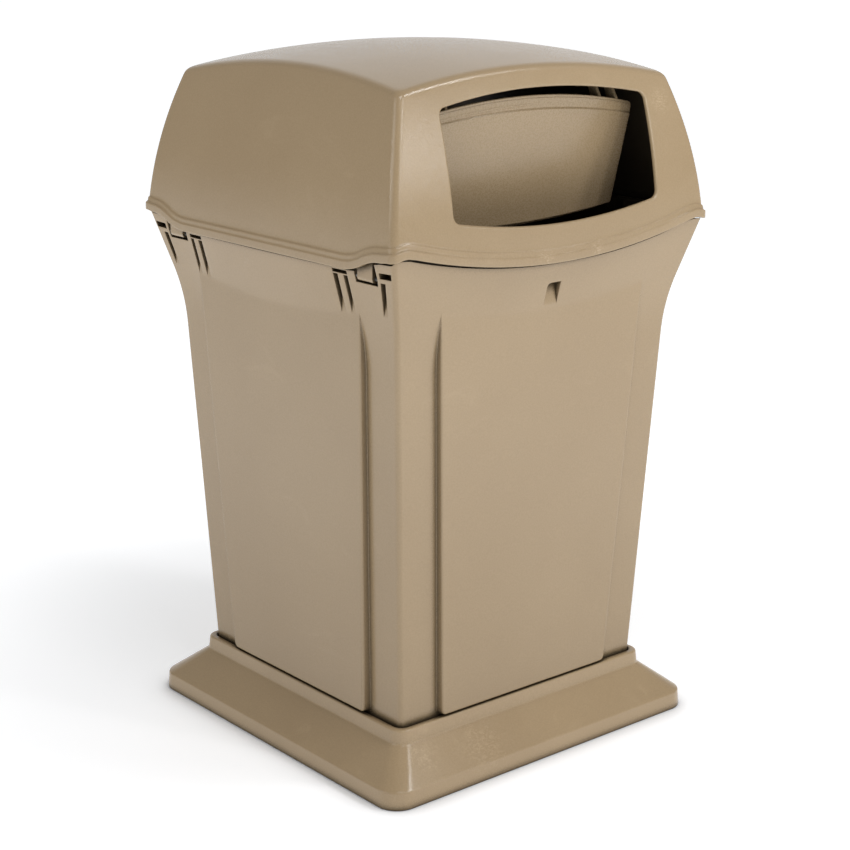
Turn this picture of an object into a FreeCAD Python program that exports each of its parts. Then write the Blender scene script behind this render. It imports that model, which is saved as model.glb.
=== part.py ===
import FreeCAD, Part
import math
import os
import Sketcher

V = FreeCAD.Vector
doc = FreeCAD.newDocument("two_door_container")

# ------------------------------------------------------------------ driving sizes (mm, degrees)
sheet = doc.addObject("Spreadsheet::Sheet", "Sizes")
SIZES = [
    # pedestal
    ("base_half", 315.0), ("base_corner", 36.0), ("skirt_top", 26.0), ("skirt_half", 313.0),
    ("lipfoot_half", 260.0), ("lipfoot_corner", 22.0), ("lipfoot_level", 72.0),
    ("lip_half", 258.0), ("lip_corner", 20.0), ("lip_top", 93.5), ("lip_inside", 248.0),
    ("lip_inside_corner", 14.0), ("deck_top", 70.0), ("deck_under", 64.0),
    ("hollow_half", 307.0), ("hollow_corner", 30.0), ("hollow_shoulder", 20.0),
    ("hollow_shoulder_half", 305.0), ("hollow_top_half", 250.0), ("hollow_top_corner", 16.0),
    ("lip_round", 7.5), ("shoulder_round", 8.0),
    # container body
    ("wall_foot", 244.6), ("wall_foot_level", 97.0), ("wall_slope", 0.0492),
    ("flare_half", 306.0), ("flare_level", 800.0), ("flare_slope", 0.275), ("flare_round", 430.0),
    ("body_corner", 12.0), ("body_wall", 6.0), ("floor_thick", 6.0), ("body_top", 832.0),
    ("neck_half", 304.0), ("neck_corner", 10.0), ("flare_gap", 2.0),
    ("panel_face", 257.2), ("panel_level", 100.0), ("panel_slope", 0.0465),
    ("panel_half_low", 172.5), ("panel_widen", 0.053), ("panel_bottom", 96.5), ("panel_round", 8.0),
    ("notch_mid", 7.0), ("notch_width", 26.0), ("notch_top", 748.0), ("notch_back", 282.5),
    # hood
    ("hood_arc", 822.0), ("hood_arc_level", 755.0), ("hood_arc_mid", 506.4), ("hood_wall", 5.0),
    ("hood_corner", 11.0), ("crown_ball", 1494.0), ("crown_top", 1085.5), ("crown_round", 9.0),
    ("rim_half", 317.0), ("rim_corner", 14.0), ("rim_band", 12.0), ("rim_step_half", 314.2), ("rim_height", 20.5),
    ("wave_corner", 817.0), ("wave_mid", 779.5), ("wave_side", 792.5), ("wave_side_flat", 190.0),
    ("wave_side_end", 285.0), ("wave_side_rise", 20.0),
    ("open_half", 206.0), ("open_top_side", 1012.0), ("open_top_mid", 1031.5),
    ("open_low_side", 858.0), ("open_low_mid", 838.5), ("open_round", 13.0),
    # hood hinge and locating tongues
    ("hinge_out", 297.5), ("hinge_level", 784.5), ("pin_radius", 3.0), ("pin_run", 0.06),
    ("knuckle_radius", 6.5), ("tongue_near", 222.0), ("tongue_far", 256.0), ("tongue_thick", 6.0),
    ("tongue_face", 304.0), ("tongue_top", 846.0), ("pocket_near", 214.0), ("pocket_far", 264.0),
    ("pocket_back", 287.0), ("pocket_low", 775.0), ("pin_near", 207.5), ("pin_far", 269.5),
    ("slot_back", 286.5), ("slot_top", 781.0), ("slot_width", 10.0),
    ("screw_radius", 2.0), ("screw_head", 4.2), ("screw_head_tall", 2.6),
    ("tongue_screw_low", 826.0), ("tongue_screw_high", 839.0),
    # swing doors
    ("door_pivot_out", 212.7), ("door_pivot_level", 1030.0), ("door_hang", 13.2),
    ("door_half_top", 215.0), ("door_half_low", 211.0), ("door_top_edge", 23.1), ("door_low_edge", 192.0),
    ("door_top_radius", 1256.0), ("door_low_radius", 1553.0), ("door_step", 20.5),
    ("door_front", 35.1), ("door_band_front", 32.5), ("door_back", 29.1), ("door_flange_back", 19.1),
    ("door_lip_drop", 10.0), ("door_flange_thick", 4.0), ("door_lip_thick", 3.0),
    ("ear_inner", 150.5), ("ear_outer", 183.5), ("ear_thick", 5.0), ("ear_radius", 8.0),
    ("door_pin_radius", 4.0), ("door_pin_run", 0.06), ("door_pin_from", 147.5), ("door_pin_to", 193.5),
    ("pin_head_radius", 6.5), ("pin_head_thick", 2.5), ("clip_radius", 7.2), ("clip_thick", 1.4), ("clip_at", 189.5),
    ("bush_radius", 6.0), ("lug_inner", 158.5), ("lug_outer", 180.5), ("lug_radius", 9.0),
    ("plate_top", 1046.0), ("plate_thick", 4.0), ("plate_half_long", 40.0), ("plate_half_wide", 14.0),
    ("bracket_mid", 169.5), ("bracket_screw_off", 30.0), ("boss_radius", 7.0),
    # pedestal fasteners
    ("bolt_pitch", 150.0), ("bolt_radius", 5.0), ("bolt_hole", 5.5), ("bolt_head_across", 9.2), ("bolt_head_tall", 6.4),
    ("washer_radius", 11.0), ("washer_thick", 2.0), ("bolt_tip", 82.0), ("bolt_boss_radius", 11.0), ("bolt_boss_top", 85.0), ("bolt_boss_end", 82.5),
]
for row, (alias, number) in enumerate(SIZES, start=1):
    sheet.set("A%d" % row, alias)
    sheet.set("B%d" % row, repr(number))
    sheet.setAlias("B%d" % row, alias)
doc.recompute()
S = {alias: float(sheet.get(alias)) for alias, _ in SIZES}
PARTS = {}


def keep(obj, label):
    obj.Label = label
    PARTS[label] = obj
    return obj


# ------------------------------------------------------------------ small helpers
def prim(kind, name, sizes, base=(None, None, None), turn=None):
    """A primitive whose sizes and position are bound to the sheet."""
    o = doc.addObject(kind, name)
    for prop, expr in sizes.items():
        o.setExpression(prop, expr)
    if turn is not None:
        o.Placement = FreeCAD.Placement(V(0, 0, 0), FreeCAD.Rotation(V(*turn[0]), turn[1]))
    for axis, expr in zip("xyz", base):
        if expr is not None:
            o.setExpression("Placement.Base." + axis, expr)
    return o


def cut(name, base, tool):
    o = doc.addObject("Part::Cut", name)
    o.Base, o.Tool = base, tool
    return o


def fuse(name, shapes):
    o = doc.addObject("Part::MultiFuse", name)
    o.Shapes = shapes
    o.Refine = True
    return o


def mirror(name, source, normal):
    o = doc.addObject("Part::Mirroring", name)
    o.Source = source
    o.Base = V(0, 0, 0)
    o.Normal = V(*normal)
    return o


def group(name, shapes):
    o = doc.addObject("Part::Compound", name)
    o.Links = shapes
    return o


def four(name, source):
    """A piece and its copies in the other three quarters, as one group of separate solids."""
    a = mirror(name + "_x", source, (1, 0, 0))
    b = mirror(name + "_y", source, (0, 1, 0))
    c = mirror(name + "_xy", a, (0, 1, 0))
    return group(name, [source, a, b, c])


def new_body(label):
    b = doc.addObject("PartDesign::Body", label)
    return keep(b, label)


def new_sketch(body, name, role, offset=None):
    s = body.newObject("Sketcher::SketchObject", name)
    plane = next(f for f in body.Origin.OriginFeatures if f.Role == role)
    s.AttachmentSupport = [(plane, "")]
    s.MapMode = "FlatFace"
    if offset is not None:
        s.setExpression("AttachmentOffset.Base.z", offset)
    return s


def rounded_square(s, half, corner):
    """Four sides and four corner arcs about the sketch's origin, bound to two cells."""
    h, r = S[half], S[corner]
    c = h - r
    lines = [((h, -c), (h, c)), ((c, h), (-c, h)), ((-h, c), (-h, -c)), ((-c, -h), (c, -h))]
    mids = [((c, c), 0), ((-c, c), 90), ((-c, -c), 180), ((c, -c), 270)]
    for a, b in lines:
        s.addGeometry(Part.LineSegment(V(a[0], a[1], 0), V(b[0], b[1], 0)))
    for m, deg in mids:
        circ = Part.Circle(V(m[0], m[1], 0), V(0, 0, 1), r)
        s.addGeometry(Part.ArcOfCircle(circ, math.radians(deg), math.radians(deg + 90)))
    K = Sketcher.Constraint
    for i in range(4):
        s.addConstraint(K("Tangent", i, 2, 4 + i, 1))
        s.addConstraint(K("Tangent", 4 + i, 2, (i + 1) % 4, 1))
    s.addConstraint(K("Vertical", 0))
    s.addConstraint(K("Horizontal", 1))
    s.addConstraint(K("Vertical", 2))
    s.addConstraint(K("Horizontal", 3))
    for i in range(5, 8):
        s.addConstraint(K("Equal", 4, i))
    n = s.addConstraint(K("Radius", 4, r))
    s.setExpression("Constraints[%d]" % n, "Sizes." + corner)
    for kind, geo, sign in (("DistanceX", 0, 1), ("DistanceY", 1, 1), ("DistanceX", 2, -1), ("DistanceY", 3, -1)):
        n = s.addConstraint(K(kind, -1, 1, geo, 1, sign * h))
        s.setExpression("Constraints[%d]" % n, ("" if sign > 0 else "-") + "Sizes." + half)
    return s


def circle(s, radius, cx=None, cy=None):
    x = S[cx.lstrip("-")] * (-1 if cx.startswith("-") else 1) if cx else 0.0
    y = S[cy.lstrip("-")] * (-1 if cy.startswith("-") else 1) if cy else 0.0
    g = s.addGeometry(Part.Circle(V(x, y, 0), V(0, 0, 1), S[radius]))
    K = Sketcher.Constraint
    n = s.addConstraint(K("Radius", g, S[radius]))
    s.setExpression("Constraints[%d]" % n, "Sizes." + radius)
    if cx is None and cy is None:
        s.addConstraint(K("Coincident", g, 3, -1, 1))
        return g
    for kind, val, expr in (("DistanceX", x, cx), ("DistanceY", y, cy)):
        n = s.addConstraint(K(kind, -1, 1, g, 3, val))
        sign = "-" if expr.startswith("-") else ""
        s.setExpression("Constraints[%d]" % n, sign + "Sizes." + expr.lstrip("-"))
    return g


def edges_at(feature, test):
    return ["Edge%d" % (i + 1) for i, e in enumerate(feature.Shape.Edges) if test(e)]


# ------------------------------------------------------------------ pedestal base
ped = new_body("pedestal_base")
loft = ped.newObject("PartDesign::AdditiveLoft", "skirt")
loft.Profile = rounded_square(new_sketch(ped, "skirt_foot", "XY_Plane"), "base_half", "base_corner")
loft.Sections = [rounded_square(new_sketch(ped, "skirt_head", "XY_Plane", "Sizes.skirt_top"), "skirt_half", "base_corner")]
loft.Ruled = True
loft = ped.newObject("PartDesign::AdditiveLoft", "slope")
loft.Profile = rounded_square(new_sketch(ped, "slope_foot", "XY_Plane", "Sizes.skirt_top"), "skirt_half", "base_corner")
loft.Sections = [rounded_square(new_sketch(ped, "slope_head", "XY_Plane", "Sizes.lipfoot_level"), "lipfoot_half", "lipfoot_corner")]
loft.Ruled = True
pad = ped.newObject("PartDesign::Pad", "lip")
pad.Profile = rounded_square(new_sketch(ped, "lip_outline", "XY_Plane", "Sizes.lipfoot_level"), "lip_half", "lip_corner")
pad.setExpression("Length", "Sizes.lip_top - Sizes.lipfoot_level")
doc.recompute()
fil = ped.newObject("PartDesign::Fillet", "lip_rounding")
fil.Base = (pad, edges_at(pad, lambda e: e.BoundBox.ZMin > S["lip_top"] - 0.01))
fil.setExpression("Radius", "Sizes.lip_round")
doc.recompute()
fil2 = ped.newObject("PartDesign::Fillet", "shoulder_rounding")
fil2.Base = (fil, edges_at(fil, lambda e: abs(e.BoundBox.ZMin - S["skirt_top"]) < 0.01 and abs(e.BoundBox.ZMax - S["skirt_top"]) < 0.01))
fil2.setExpression("Radius", "Sizes.shoulder_round")
doc.recompute()
poc = ped.newObject("PartDesign::Pocket", "recess")
poc.Profile = rounded_square(new_sketch(ped, "recess_outline", "XY_Plane", "Sizes.lip_top"), "lip_inside", "lip_inside_corner")
poc.setExpression("Length", "Sizes.lip_top - Sizes.deck_top")
sub = ped.newObject("PartDesign::SubtractiveLoft", "hollow_low")
sub.Profile = rounded_square(new_sketch(ped, "hollow_foot", "XY_Plane"), "hollow_half", "hollow_corner")
sub.Sections = [rounded_square(new_sketch(ped, "hollow_mid", "XY_Plane", "Sizes.hollow_shoulder"), "hollow_shoulder_half", "hollow_corner")]
sub.Ruled = True
sub = ped.newObject("PartDesign::SubtractiveLoft", "hollow_high")
sub.Profile = rounded_square(new_sketch(ped, "hollow_mid_again", "XY_Plane", "Sizes.hollow_shoulder"), "hollow_shoulder_half", "hollow_corner")
sub.Sections = [rounded_square(new_sketch(ped, "hollow_head", "XY_Plane", "Sizes.deck_under"), "hollow_top_half", "hollow_top_corner")]
sub.Ruled = True
sk = new_sketch(ped, "bolt_holes_outline", "XY_Plane", "Sizes.deck_top")
for sx in ("", "-"):
    for sy in ("", "-"):
        circle(sk, "bolt_hole", sx + "bolt_pitch", sy + "bolt_pitch")
poc = ped.newObject("PartDesign::Pocket", "bolt_holes")
poc.Profile = sk
poc.setExpression("Length", "Sizes.deck_top - Sizes.deck_under + 1")
doc.recompute()

# ------------------------------------------------------------------ shapes shared by the two big shells
BIG = 400.0


def wall(z):
    return S["wall_foot"] + S["wall_slope"] * (z - S["wall_foot_level"])


def flare(z):
    return S["flare_half"] + S["flare_slope"] * (z - S["flare_level"])


def body_prism(off, low, high, limit=None):
    """The body's side profile, moved in by off, run through along Y."""
    z = (S["flare_half"] - S["flare_slope"] * S["flare_level"] - S["wall_foot"] + S["wall_slope"] * S["wall_foot_level"]) / (S["wall_slope"] - S["flare_slope"])
    a1, a2 = math.atan(S["wall_slope"]), math.atan(S["flare_slope"])
    t = S["flare_round"] * math.tan((a2 - a1) / 2)
    kx = wall(z) - off
    p1 = (kx - t * math.sin(a1), z - t * math.cos(a1))
    p2 = (kx + t * math.sin(a2), z + t * math.cos(a2))
    mx, mz = p1[0] + S["flare_round"] * math.cos(a1), p1[1] - S["flare_round"] * math.sin(a1)
    am = (a1 + a2) / 2
    pm = (mx - S["flare_round"] * math.cos(am), mz + S["flare_round"] * math.sin(am))
    right = [(wall(low) - off, low), p1, pm, p2]
    if limit is None:
        right += [(flare(high) - off, high)]
    else:
        zl = S["flare_level"] + (limit + off - S["flare_half"]) / S["flare_slope"]
        right += [(limit, zl), (limit, high)]
    P = [V(x, 0, zz) for x, zz in right]
    Q = [V(-x, 0, zz) for x, zz in right]

    def half(p):
        e = [Part.LineSegment(p[0], p[1]).toShape(), Part.Arc(p[1], p[2], p[3]).toShape()]
        e += [Part.LineSegment(p[i], p[i + 1]).toShape() for i in range(3, len(p) - 1)]
        return e
    edges = half(P) + [Part.LineSegment(P[-1], Q[-1]).toShape()] + half(Q) + [Part.LineSegment(Q[0], P[0]).toShape()]
    face = Part.Face(Part.Wire(Part.__sortEdges__(edges)))
    face.translate(V(0, -BIG, 0))
    return face.extrude(V(0, 2 * BIG, 0))


def turned(shape, deg=90):
    s = shape.copy()
    s.rotate(V(0, 0, 0), V(0, 0, 1), deg)
    return s


def corner_edges(shape):
    out = []
    for e in shape.Edges:
        if e.BoundBox.ZLength > 1 and all(abs(abs(v.X) - abs(v.Y)) < 0.02 for v in e.Vertexes):
            out.append(e)
    return out


def square_prism(half, corner, low, high):
    b = Part.makeBox(2 * half, 2 * half, high - low, V(-half, -half, low))
    return b.makeFillet(corner, [e for e in b.Edges if e.BoundBox.ZLength > 1])


def wave_front(rise):
    """Everything under the rim's arched line on the front and back."""
    w = S["rim_half"]
    sag = S["wave_corner"] - S["wave_mid"]
    rad = (w * w + sag * sag) / (2 * sag)
    zz = lambda x: S["wave_mid"] + rise + rad - math.sqrt(rad * rad - x * x)
    a, m, b = V(-BIG, 0, zz(BIG)), V(0, 0, zz(0)), V(BIG, 0, zz(BIG))
    c, d = V(BIG, 0, 500), V(-BIG, 0, 500)
    edges = [Part.Arc(a, m, b).toShape(), Part.LineSegment(b, c).toShape(), Part.LineSegment(c, d).toShape(), Part.LineSegment(d, a).toShape()]
    f = Part.Face(Part.Wire(edges))
    f.translate(V(0, -BIG, 0))
    return f.extrude(V(0, 2 * BIG, 0))


def wave_side(rise):
    """Everything under the rim's line on the two sides: straight, then rising to the corners."""
    y0, y1, lift = S["wave_side_flat"], S["wave_side_end"], S["wave_side_rise"]
    z0 = S["wave_side"] + rise
    z1 = z0 + lift
    ym, zm = (y0 + y1) / 2, (z0 + z1) / 2
    rad = (((y1 - y0) / 2) ** 2 + (lift / 2) ** 2) / lift
    ang = math.asin((y1 - y0) / 2 / rad) / 2
    q1 = (y0 + rad * math.sin(ang), z0 + rad - rad * math.cos(ang))
    q2 = (y1 - rad * math.sin(ang), z1 - rad + rad * math.cos(ang))
    zend = S["wave_corner"] + rise
    slope = (zend - z1) / (S["rim_half"] - y1)
    end = (BIG, z1 + slope * (BIG - y1))
    P = lambda y, z: V(0, y, z)
    e = []
    for s in (1, -1):
        e.append(Part.Arc(P(s * y0, z0), P(s * q1[0], q1[1]), P(s * ym, zm)).toShape())
        e.append(Part.Arc(P(s * ym, zm), P(s * q2[0], q2[1]), P(s * y1, z1)).toShape())
        e.append(Part.LineSegment(P(s * y1, z1), P(s * end[0], end[1])).toShape())
        e.append(Part.LineSegment(P(s * BIG, end[1]), P(s * BIG, 500)).toShape())
    e.append(Part.LineSegment(P(-y0, z0), P(y0, z0)).toShape())
    e.append(Part.LineSegment(P(-BIG, 500), P(BIG, 500)).toShape())
    f = Part.Face(Part.Wire(Part.__sortEdges__(e)))
    f.translate(V(-BIG, 0, 0))
    return f.extrude(V(2 * BIG, 0, 0))


def under_wave(rise):
    return wave_front(rise).common(wave_side(rise))


def box(x0, x1, y0, y1, z0, z1):
    return Part.makeBox(abs(x1 - x0), abs(y1 - y0), abs(z1 - z0), V(min(x0, x1), min(y0, y1), min(z0, z1)))


# ------------------------------------------------------------------ container body
def face_panel(inset):
    """One raised flat panel, on the side that faces -Y, as a solid that reaches in to the middle."""
    z0, z1 = S["panel_bottom"] + inset, 745.0
    c = lambda z: S["panel_half_low"] + S["panel_widen"] * (z - S["panel_level"]) - inset
    pl = lambda z: S["panel_face"] + S["panel_slope"] * (z - S["panel_level"]) - inset
    pts = [V(-c(z0), 0, z0), V(c(z0), 0, z0), V(c(z1), 0, z1), V(-c(z1), 0, z1)]
    slab = Part.Face(Part.makePolygon(pts + [pts[0]])).extrude(V(0, -330, 0))
    low = [e for e in slab.Edges if e.BoundBox.YLength > 300 and e.BoundBox.ZMax < z0 + 1]
    slab = slab.makeFillet(S["panel_round"], low)
    pts = [V(0, -150, z0 - 20), V(0, -pl(z0 - 20), z0 - 20), V(0, -pl(z1 + 20), z1 + 20), V(0, -150, z1 + 20)]
    side = Part.Face(Part.makePolygon(pts + [pts[0]]))
    side.translate(V(-BIG, 0, 0))
    return slab.common(side.extrude(V(2 * BIG, 0, 0)))


def make_container():
    low = S["deck_top"]
    top = S["body_top"]
    prism = body_prism(0.0, low, top)
    outer = prism.common(turned(prism))
    outer = outer.makeFillet(S["body_corner"], corner_edges(outer))
    neck = square_prism(S["neck_half"], S["neck_corner"], low, top)
    outer = outer.common(under_wave(-S["flare_gap"])).fuse(outer.common(neck))
    t = S["body_wall"]
    inner_prism = body_prism(t, low + S["floor_thick"], top + 5, S["neck_half"] - t)
    inner = inner_prism.common(turned(inner_prism))
    inner = inner.makeFillet(S["body_corner"] - 5, corner_edges(inner))
    panel, hollow = face_panel(0.0), face_panel(t)
    for k in range(4):
        outer = outer.fuse(turned(panel, 90 * k))
        inner = inner.fuse(turned(hollow, 90 * k))
    solid_outer = outer.removeSplitter()
    shell = solid_outer.cut(inner)
    # thick housings behind the hinge pockets and behind the notch
    extra = []
    for sx in (-1, 1):
        for sy in (-1, 1):
            extra.append(box(sx * (S["slot_back"] - 6), sx * 330, sy * 152, sy * 300, 724, 806))
    for s in (-1, 1):
        extra.append(box(S["notch_mid"] - 21, S["notch_mid"] + 21, s * (S["notch_back"] - 6), s * 330, 704, 757))
    for e in extra:
        shell = shell.fuse(e.common(solid_outer))
    # pockets on the two hinge sides
    for sx in (-1, 1):
        for sy in (-1, 1):
            cuts = [box(sx * S["pocket_back"], sx * 340, sy * S["pocket_near"], sy * S["pocket_far"], S["pocket_low"], top + 9)]
            cuts.append(box(sx * 292, sx * 340, sy * 171, sy * 207, 783.5, 788.5))
            cuts.append(box(sx * 293, sx * 340, sy * 270, sy * 295, 788, 797))
            for y, back in ((171.0, S["slot_back"]), (196.0, S["slot_back"]), (271.0, S["slot_back"] + 2.2)):
                cuts.append(box(sx * back, sx * 340, sy * y, sy * (y + S["slot_width"]), 690, S["slot_top"]))
            for c in cuts:
                shell = shell.cut(c)
    for sy in (-1, 1):
        y0 = sy * S["pin_near"] if sy > 0 else -S["pin_far"]
        shell = shell.cut(Part.makeCylinder(S["pin_radius"], S["pin_far"] - S["pin_near"] + 2, V(-S["hinge_out"], y0 - (1.5 if sy > 0 else 0.5), S["hinge_level"]), V(0, 1, 0)))
    for s in (-1, 1):
        shell = shell.cut(box(S["notch_mid"] - S["notch_width"] / 2, S["notch_mid"] + S["notch_width"] / 2, s * S["notch_back"], s * 340, 690, S["notch_top"]))
    for sx in (-1, 1):
        for sy in (-1, 1):
            x, y = sx * S["bolt_pitch"], sy * S["bolt_pitch"]
            shell = shell.fuse(Part.makeCylinder(S["bolt_boss_radius"], S["bolt_boss_top"] - low - 2, V(x, y, low + 2)))
            shell = shell.cut(Part.makeCylinder(S["bolt_radius"], S["bolt_boss_end"] - low + 5, V(x, y, low - 5)))
    return shell.removeSplitter()


shell = doc.addObject("Part::Feature", "container_shell")
shell.Shape = make_container()
shell.Placement = FreeCAD.Placement()
keep(shell, "container_shell")


# ------------------------------------------------------------------ hood
def hood_prism(off, low, high):
    mid, lev, rad = S["hood_arc_mid"], S["hood_arc_level"], S["hood_arc"] - off
    w = lambda z: -mid + math.sqrt(rad * rad - (z - lev) ** 2)
    zm = (low + high) / 2
    R = [V(w(low), 0, low), V(w(zm), 0, zm), V(w(high), 0, high)]
    L = [V(-p.x, 0, p.z) for p in R]
    edges = [Part.Arc(*R).toShape(), Part.LineSegment(R[2], L[2]).toShape(), Part.Arc(*L).toShape(), Part.LineSegment(L[0], R[0]).toShape()]
    f = Part.Face(Part.Wire(Part.__sortEdges__(edges)))
    f.translate(V(0, -BIG, 0))
    return f.extrude(V(0, 2 * BIG, 0))


def dome(off, low, high, corner, rounding):
    p = hood_prism(off, low, high)
    d = p.common(turned(p))
    d = d.makeFillet(corner, corner_edges(d))
    ball = Part.makeSphere(S["crown_ball"] - off, V(0, 0, S["crown_top"] - S["crown_ball"]))
    d = d.common(ball)
    if rounding:
        edges = [e for e in d.Edges if e.BoundBox.ZMin > S["crown_top"] - 60 and e.BoundBox.ZLength < 40]
        d = d.makeFillet(rounding, edges)
    return d


def opening(sign):
    h = S["open_half"]
    P = lambda x, z: V(x, 0, z)
    e = [Part.Arc(P(-h, S["open_top_side"]), P(0, S["open_top_mid"]), P(h, S["open_top_side"])).toShape(),
         Part.LineSegment(P(h, S["open_top_side"]), P(h, S["open_low_side"])).toShape(),
         Part.Arc(P(h, S["open_low_side"]), P(0, S["open_low_mid"]), P(-h, S["open_low_side"])).toShape(),
         Part.LineSegment(P(-h, S["open_low_side"]), P(-h, S["open_top_side"])).toShape()]
    f = Part.Face(Part.Wire(e))
    f.translate(V(0, sign * 200, 0))
    s = f.extrude(V(0, sign * 150, 0))
    return s.makeFillet(S["open_round"], [g for g in s.Edges if g.BoundBox.YLength > 100])


def make_hood():
    low = 760.0
    outer = dome(0.0, low, S["crown_top"] + 15, S["hood_corner"], S["crown_round"])
    band = square_prism(S["rim_half"], S["rim_corner"], low, 880).common(under_wave(S["rim_band"]))
    step = square_prism(S["rim_step_half"], S["rim_corner"] - 2, low, 880).common(under_wave(S["rim_height"]))
    outer = outer.fuse(band).fuse(step)
    outer = outer.cut(under_wave(0.0))
    inner = dome(S["hood_wall"], 700.0, S["crown_top"] + 10, S["hood_corner"] - 4, 0)
    hood = outer.cut(inner)
    extra = []
    for sx in (-1, 1):
        for sy in (-1, 1):
            # seat pads for the tongues, corner rests over the body's top edge, bosses for the door brackets
            extra.append(box(sx * S["tongue_face"], sx * (S["tongue_face"] + 5), sy * S["tongue_near"], sy * S["tongue_far"], 815, S["tongue_top"]))
            extra.append(box(sx * 284, sx * 307.5, sy * 284, sy * 307.5, S["body_top"] + 0.6, S["body_top"] + 9))
            for off in (-S["bracket_screw_off"], S["bracket_screw_off"]):
                x, y = sx * (S["bracket_mid"] + off), sy * S["door_pivot_out"]
                r = S["crown_ball"] - S["hood_wall"]
                inside = S["crown_top"] - S["crown_ball"] + math.sqrt(r * r - x * x - y * y)
                extra.append(Part.makeCylinder(S["boss_radius"], inside + 2.5 - S["plate_top"], V(x, y, S["plate_top"])))
    for e in extra:
        hood = hood.fuse(e)
    for s in (-1, 1):
        hood = hood.cut(opening(s))
    for sx in (-1, 1):
        for sy in (-1, 1):
            ym = sy * (S["tongue_near"] + S["tongue_far"]) / 2
            for z in (S["tongue_screw_low"], S["tongue_screw_high"]):
                hood = hood.cut(Part.makeCylinder(S["screw_radius"], 4.5, V(sx * S["tongue_face"], ym, z), V(sx, 0, 0)))
            for off in (-S["bracket_screw_off"], S["bracket_screw_off"]):
                hood = hood.cut(Part.makeCylinder(S["screw_radius"], 5.5, V(sx * (S["bracket_mid"] + off), sy * S["door_pivot_out"], S["plate_top"])))
    return hood.removeSplitter()


hood = doc.addObject("Part::Feature", "hood_shell")
hood.Shape = make_hood()
hood.Placement = FreeCAD.Placement()
keep(hood, "hood_shell")

# ------------------------------------------------------------------ hinge tongues and locating tongues
TY = (("front", "-"), ("rear", ""))


def tongue(name, side, sy, bored):
    """A flat tongue with a rounded lower end, hung from the hood's inside."""
    near = "Sizes.tongue_near" if sy == "" else "-Sizes.tongue_far"
    x0 = "Sizes.tongue_face - Sizes.tongue_thick" if side > 0 else "-Sizes.tongue_face"
    plate = prim("Part::Box", name + "_plate", {"Length": "Sizes.tongue_thick", "Width": "Sizes.tongue_far - Sizes.tongue_near",
                 "Height": "Sizes.tongue_top - Sizes.hinge_level"}, (x0, near, "Sizes.hinge_level"))
    barrel = prim("Part::Cylinder", name + "_barrel", {"Radius": "Sizes.knuckle_radius", "Height": "Sizes.tongue_far - Sizes.tongue_near"},
                  ("Sizes.hinge_out" if side > 0 else "-Sizes.hinge_out", near, "Sizes.hinge_level"), ((1, 0, 0), -90))
    o = fuse(name + "_blank", [plate, barrel])
    if bored:
        bore = prim("Part::Cylinder", name + "_bore", {"Radius": "Sizes.pin_radius + Sizes.pin_run", "Height": "Sizes.tongue_far - Sizes.tongue_near + 4"},
                    ("-Sizes.hinge_out", near + " - 2", "Sizes.hinge_level"), ((1, 0, 0), -90))
        o = cut(name + "_bored", o, bore)
    ym = "(Sizes.tongue_near + Sizes.tongue_far) / 2"
    holes = []
    for k, lev in enumerate(("tongue_screw_low", "tongue_screw_high")):
        holes.append(prim("Part::Cylinder", name + "_hole%d" % k, {"Radius": "Sizes.screw_radius", "Height": "Sizes.tongue_thick + 4"},
                          (x0 + " - 2", ("-" if sy else "") + ym, "Sizes." + lev), ((0, 1, 0), 90)))
    return keep(cut(name, o, fuse(name + "_holes", holes)), name)


for end, sy in TY:
    tongue("hinge_tongue_" + end, -1, sy, True)
    tongue("locating_tongue_" + end, 1, sy, False)


def tongue_screws(name, side):
    seeds = []
    ym = "(Sizes.tongue_near + Sizes.tongue_far) / 2"
    inner = "Sizes.tongue_face - Sizes.tongue_thick"
    sgn = "" if side > 0 else "-"
    for k, lev in enumerate(("tongue_screw_low", "tongue_screw_high")):
        shank = prim("Part::Cylinder", name + "_shank%d" % k, {"Radius": "Sizes.screw_radius", "Height": "Sizes.tongue_thick + 4.2"},
                     (sgn + "(" + inner + ")", ym, "Sizes." + lev), ((0, 1, 0), 90 * side))
        head = prim("Part::Cone", name + "_head%d" % k, {"Radius1": "Sizes.screw_head", "Radius2": "Sizes.screw_head * 0.6", "Height": "Sizes.screw_head_tall"},
                    (sgn + "(" + inner + ")", ym, "Sizes." + lev), ((0, 1, 0), -90 * side))
        seeds.append(fuse(name + "_seed%d" % k, [shank, head]))
    return keep(group(name, seeds + [mirror(name + "_m%d" % k, s, (0, 1, 0)) for k, s in enumerate(seeds)]), name)


tongue_screws("hinge_tongue_screws", -1)
tongue_screws("locating_tongue_screws", 1)

for end, sy in TY:
    keep(prim("Part::Cylinder", "hood_hinge_pin_" + end, {"Radius": "Sizes.pin_radius", "Height": "Sizes.pin_far - Sizes.pin_near"},
              ("-Sizes.hinge_out", "Sizes.pin_near" if sy == "" else "-Sizes.pin_far", "Sizes.hinge_level"), ((1, 0, 0), -90)), "hood_hinge_pin_" + end)

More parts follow.
